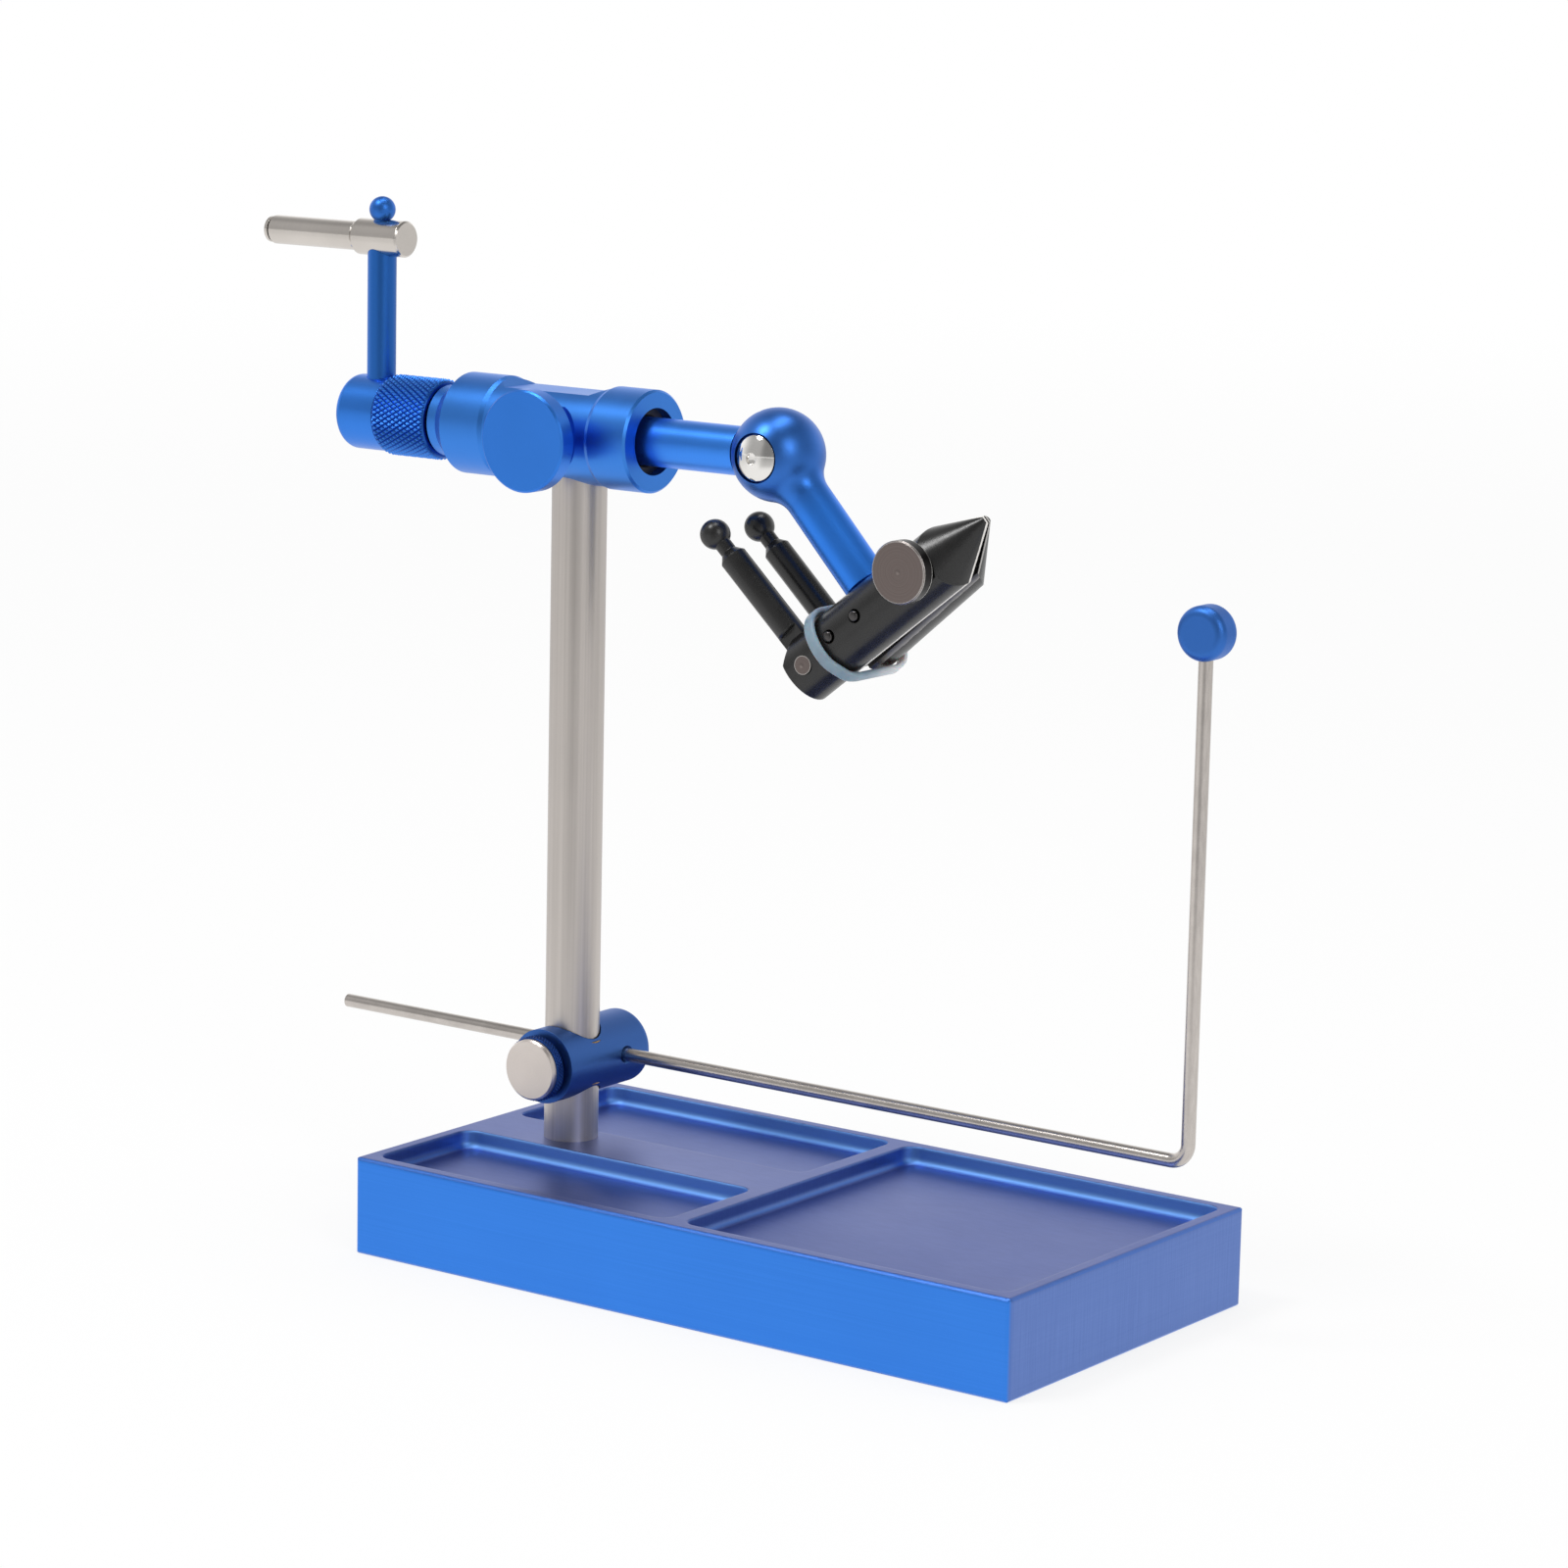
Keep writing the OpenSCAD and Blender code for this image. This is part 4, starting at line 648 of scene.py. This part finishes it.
def make_band():
    """A soft band round the jaws, swaying a little along the jaws as it goes round."""
    old = nodes["jaw_band"]
    places = [(old.matrix_world @ v.co).dot(JAW_AXIS) for v in old.data.vertices]
    low_s, high_s = min(places), max(places)
    lift = JAW_PIN.dot(JAW_UP) - 0.7 * MM
    half_w, half_t, soft = 1.35 * MM, 0.60 * MM, 0.55 * MM
    section = []
    for cx, cy, first in ((1, 1, 0), (-1, 1, 1), (-1, -1, 2), (1, -1, 3)):
        for k in range(6):
            turn = math.pi / 2 * (first + k / 5)
            wide = cx * (half_w - soft) + soft * math.cos(turn)
            section.append((wide, cy * (half_t - soft) + soft * math.sin(turn)))
    bm = bmesh.new()
    rings = []
    for y, z, turn in band_path():
        out = Y_AXIS * math.cos(turn) + JAW_UP * math.sin(turn)
        spot = JAW_AXIS * (low_s + high_s) / 2 + Y_AXIS * y * MM + JAW_UP * (lift + z * MM)
        sway = 0.08 * MM * math.sin(3 * turn + y)
        rings.append([bm.verts.new(spot + JAW_AXIS * (a + sway) + out * b) for a, b in section])
    for ring, after in zip(rings, rings[1:] + rings[:1]):
        for i in range(len(section)):
            j = (i + 1) % len(section)
            bm.faces.new((ring[i], ring[j], after[j], after[i]))
    mat = elastic("milky_rubber")
    add_piece("jaw_elastic_band", bm, mat, "arm", "milky_elastic", "jaw_band", smooth=50)


make_collar()
make_thumb_ring()
make_joint_screw()
make_clamp_screw()
pin_steel = steel("pin_steel", JAW_PIN, Y_AXIS, PIN_STEEL, 0.26)
make_pin("jaw_pin", "jaw_pin_domed", pin_steel)
make_pin("guide_pin", "guide_pin_domed", pin_steel)
make_band()


# studio
def towards(graph, place, azimuth, start, stop):
    """1 in one direction round the post and 0 away from it."""
    rel = graph.vec("SUBTRACT", place, (POST.x, 0.0, 0.0))
    aim = graph.vec("NORMALIZE", graph.vec("MULTIPLY", rel, (1.0, 1.0, 0.0)))
    turn = math.radians(azimuth)
    along = graph.vec("DOT_PRODUCT", aim, (math.cos(turn), math.sin(turn), 0.0))
    first, last = (math.cos(math.radians(angle)) for angle in (start, stop))
    return graph.spread(along, 0.0, 1.0, first, last, soft=True)


def studio_level(graph, place):
    """What bright metal sees: a dark camera side and a lighter left side."""
    far = graph.spread(graph.vec("LENGTH", place), 0.0, 1.0, 0.20, 0.42, soft=True)
    dark = graph.math("MULTIPLY", towards(graph, place, DARK_SIDE, 30.0, 4.0), -0.42)
    light = graph.math("MULTIPLY", towards(graph, place, LIGHT_SIDE, 32.0, 6.0), 0.10)
    return graph.math("MULTIPLY_ADD", graph.math("ADD", dark, light), far, 0.97)


def make_floor():
    """White paper that keeps the shadow and fades into the background."""
    bm = bmesh.new()
    bmesh.ops.create_circle(bm, cap_ends=True, segments=96, radius=40.0)
    mesh = bpy.data.meshes.new("floor")
    bm.to_mesh(mesh)
    bm.free()
    floor = bpy.data.objects.new("floor", mesh)
    scene.collection.objects.link(floor)
    paper = Paint("floor_paper", Specular_IOR_Level=0.0)
    grain = paper.noise(900.0, 3.0)
    paper.look(paper.mix(grain, (0.885, 0.885, 0.885), (0.905, 0.905, 0.905)), 0.9)
    where = paper.add("ShaderNodeNewGeometry").outputs["Position"]
    far = paper.vec("LENGTH", where)
    mirror = paper.add("ShaderNodeLightPath").outputs["Is Glossy Ray"]
    fade = paper.spread(far, 1.05, 0.80, 0.10, 0.90, soft=True)
    faded = paper.math("MULTIPLY", fade, studio_level(paper, where))
    strength = paper.add("ShaderNodeMix", {0: mirror, 2: 1.0, 3: faded}, data_type="FLOAT").outputs[0]
    glow = paper.add("ShaderNodeEmission", {"Strength": strength}).outputs[0]
    part = paper.math("MULTIPLY", paper.seen(), paper.spread(far, 0.82, 1.0, 0.4, 2.5, soft=True))
    mix = paper.add("ShaderNodeMixShader", {0: part, 1: paper.shader.outputs[0], 2: glow}).outputs[0]
    paper.put(paper.tree.nodes["Material Output"], "Surface", mix)
    mesh.materials.append(paper.mat)


def make_world():
    world = bpy.data.worlds.new("studio")
    scene.world = world
    world.use_nodes = True
    graph = Graph(world.node_tree)
    back = world.node_tree.nodes["Background"]
    graph.put(back, "Color", (1, 1, 1))
    graph.put(back, "Strength", graph.spread(graph.seen(), 0.55, 1.0, 0.0, 1.0))


def make_room():
    """The grey studio that polished metal reflects above the white table."""
    bm = bmesh.new()
    bmesh.ops.create_uvsphere(bm, u_segments=64, v_segments=48, radius=6.0)
    low_cut = [v for v in bm.verts if v.co.z < 6.0 * math.sin(math.radians(3.5))]
    bmesh.ops.delete(bm, geom=low_cut, context="VERTS")
    mesh = bpy.data.meshes.new("room")
    bm.to_mesh(mesh)
    bm.free()
    room = bpy.data.objects.new("room", mesh)
    scene.collection.objects.link(room)
    mat = bpy.data.materials.new("room_grey")
    mat.use_nodes = True
    graph = Graph(mat.node_tree)
    mat.node_tree.nodes.remove(mat.node_tree.nodes["Principled BSDF"])
    where = graph.add("ShaderNodeNewGeometry").outputs["Position"]
    height = graph.vec("DOT_PRODUCT", where, (0.0, 0.0, 1.0))
    front = graph.spread(height, 0.44, 0.20, 4.0, 5.6, soft=True)
    backdrop = graph.spread(height, 0.72, 0.0, 1.8, 4.8, soft=True)
    backdrop = graph.math("MULTIPLY", backdrop, towards(graph, where, BACKDROP_SIDE, 105.0, 50.0))
    level = graph.math("MULTIPLY", graph.math("ADD", front, backdrop), studio_level(graph, where))
    glow = graph.add("ShaderNodeEmission", {"Strength": level}).outputs[0]
    graph.put(mat.node_tree.nodes["Material Output"], "Surface", glow)
    mesh.materials.append(mat)
    room.visible_camera = False
    room.visible_diffuse = False
    room.visible_transmission = False
    room.visible_shadow = False


def lamp(name, place, width, height, power):
    """A soft rectangular lamp aimed at the middle of the object."""
    data = bpy.data.lights.new(name, "AREA")
    data.shape = "RECTANGLE"
    data.size = width
    data.size_y = height
    data.energy = power
    obj = bpy.data.objects.new(name, data)
    scene.collection.objects.link(obj)
    obj.location = place
    aim = Vector((0.0, 0.0, 0.1)) - Vector(place)
    obj.rotation_euler = aim.to_track_quat("-Z", "Y").to_euler()


make_floor()
make_world()
make_room()
lamp("key", (-0.8, -1.1, 2.3), 0.7, 0.7, 22.0)
lamp("fill", (1.9, -0.9, 1.2), 0.8, 1.2, 9.0)
lamp("top", (0.0, 0.2, 2.3), 0.6, 1.4, 12.0)
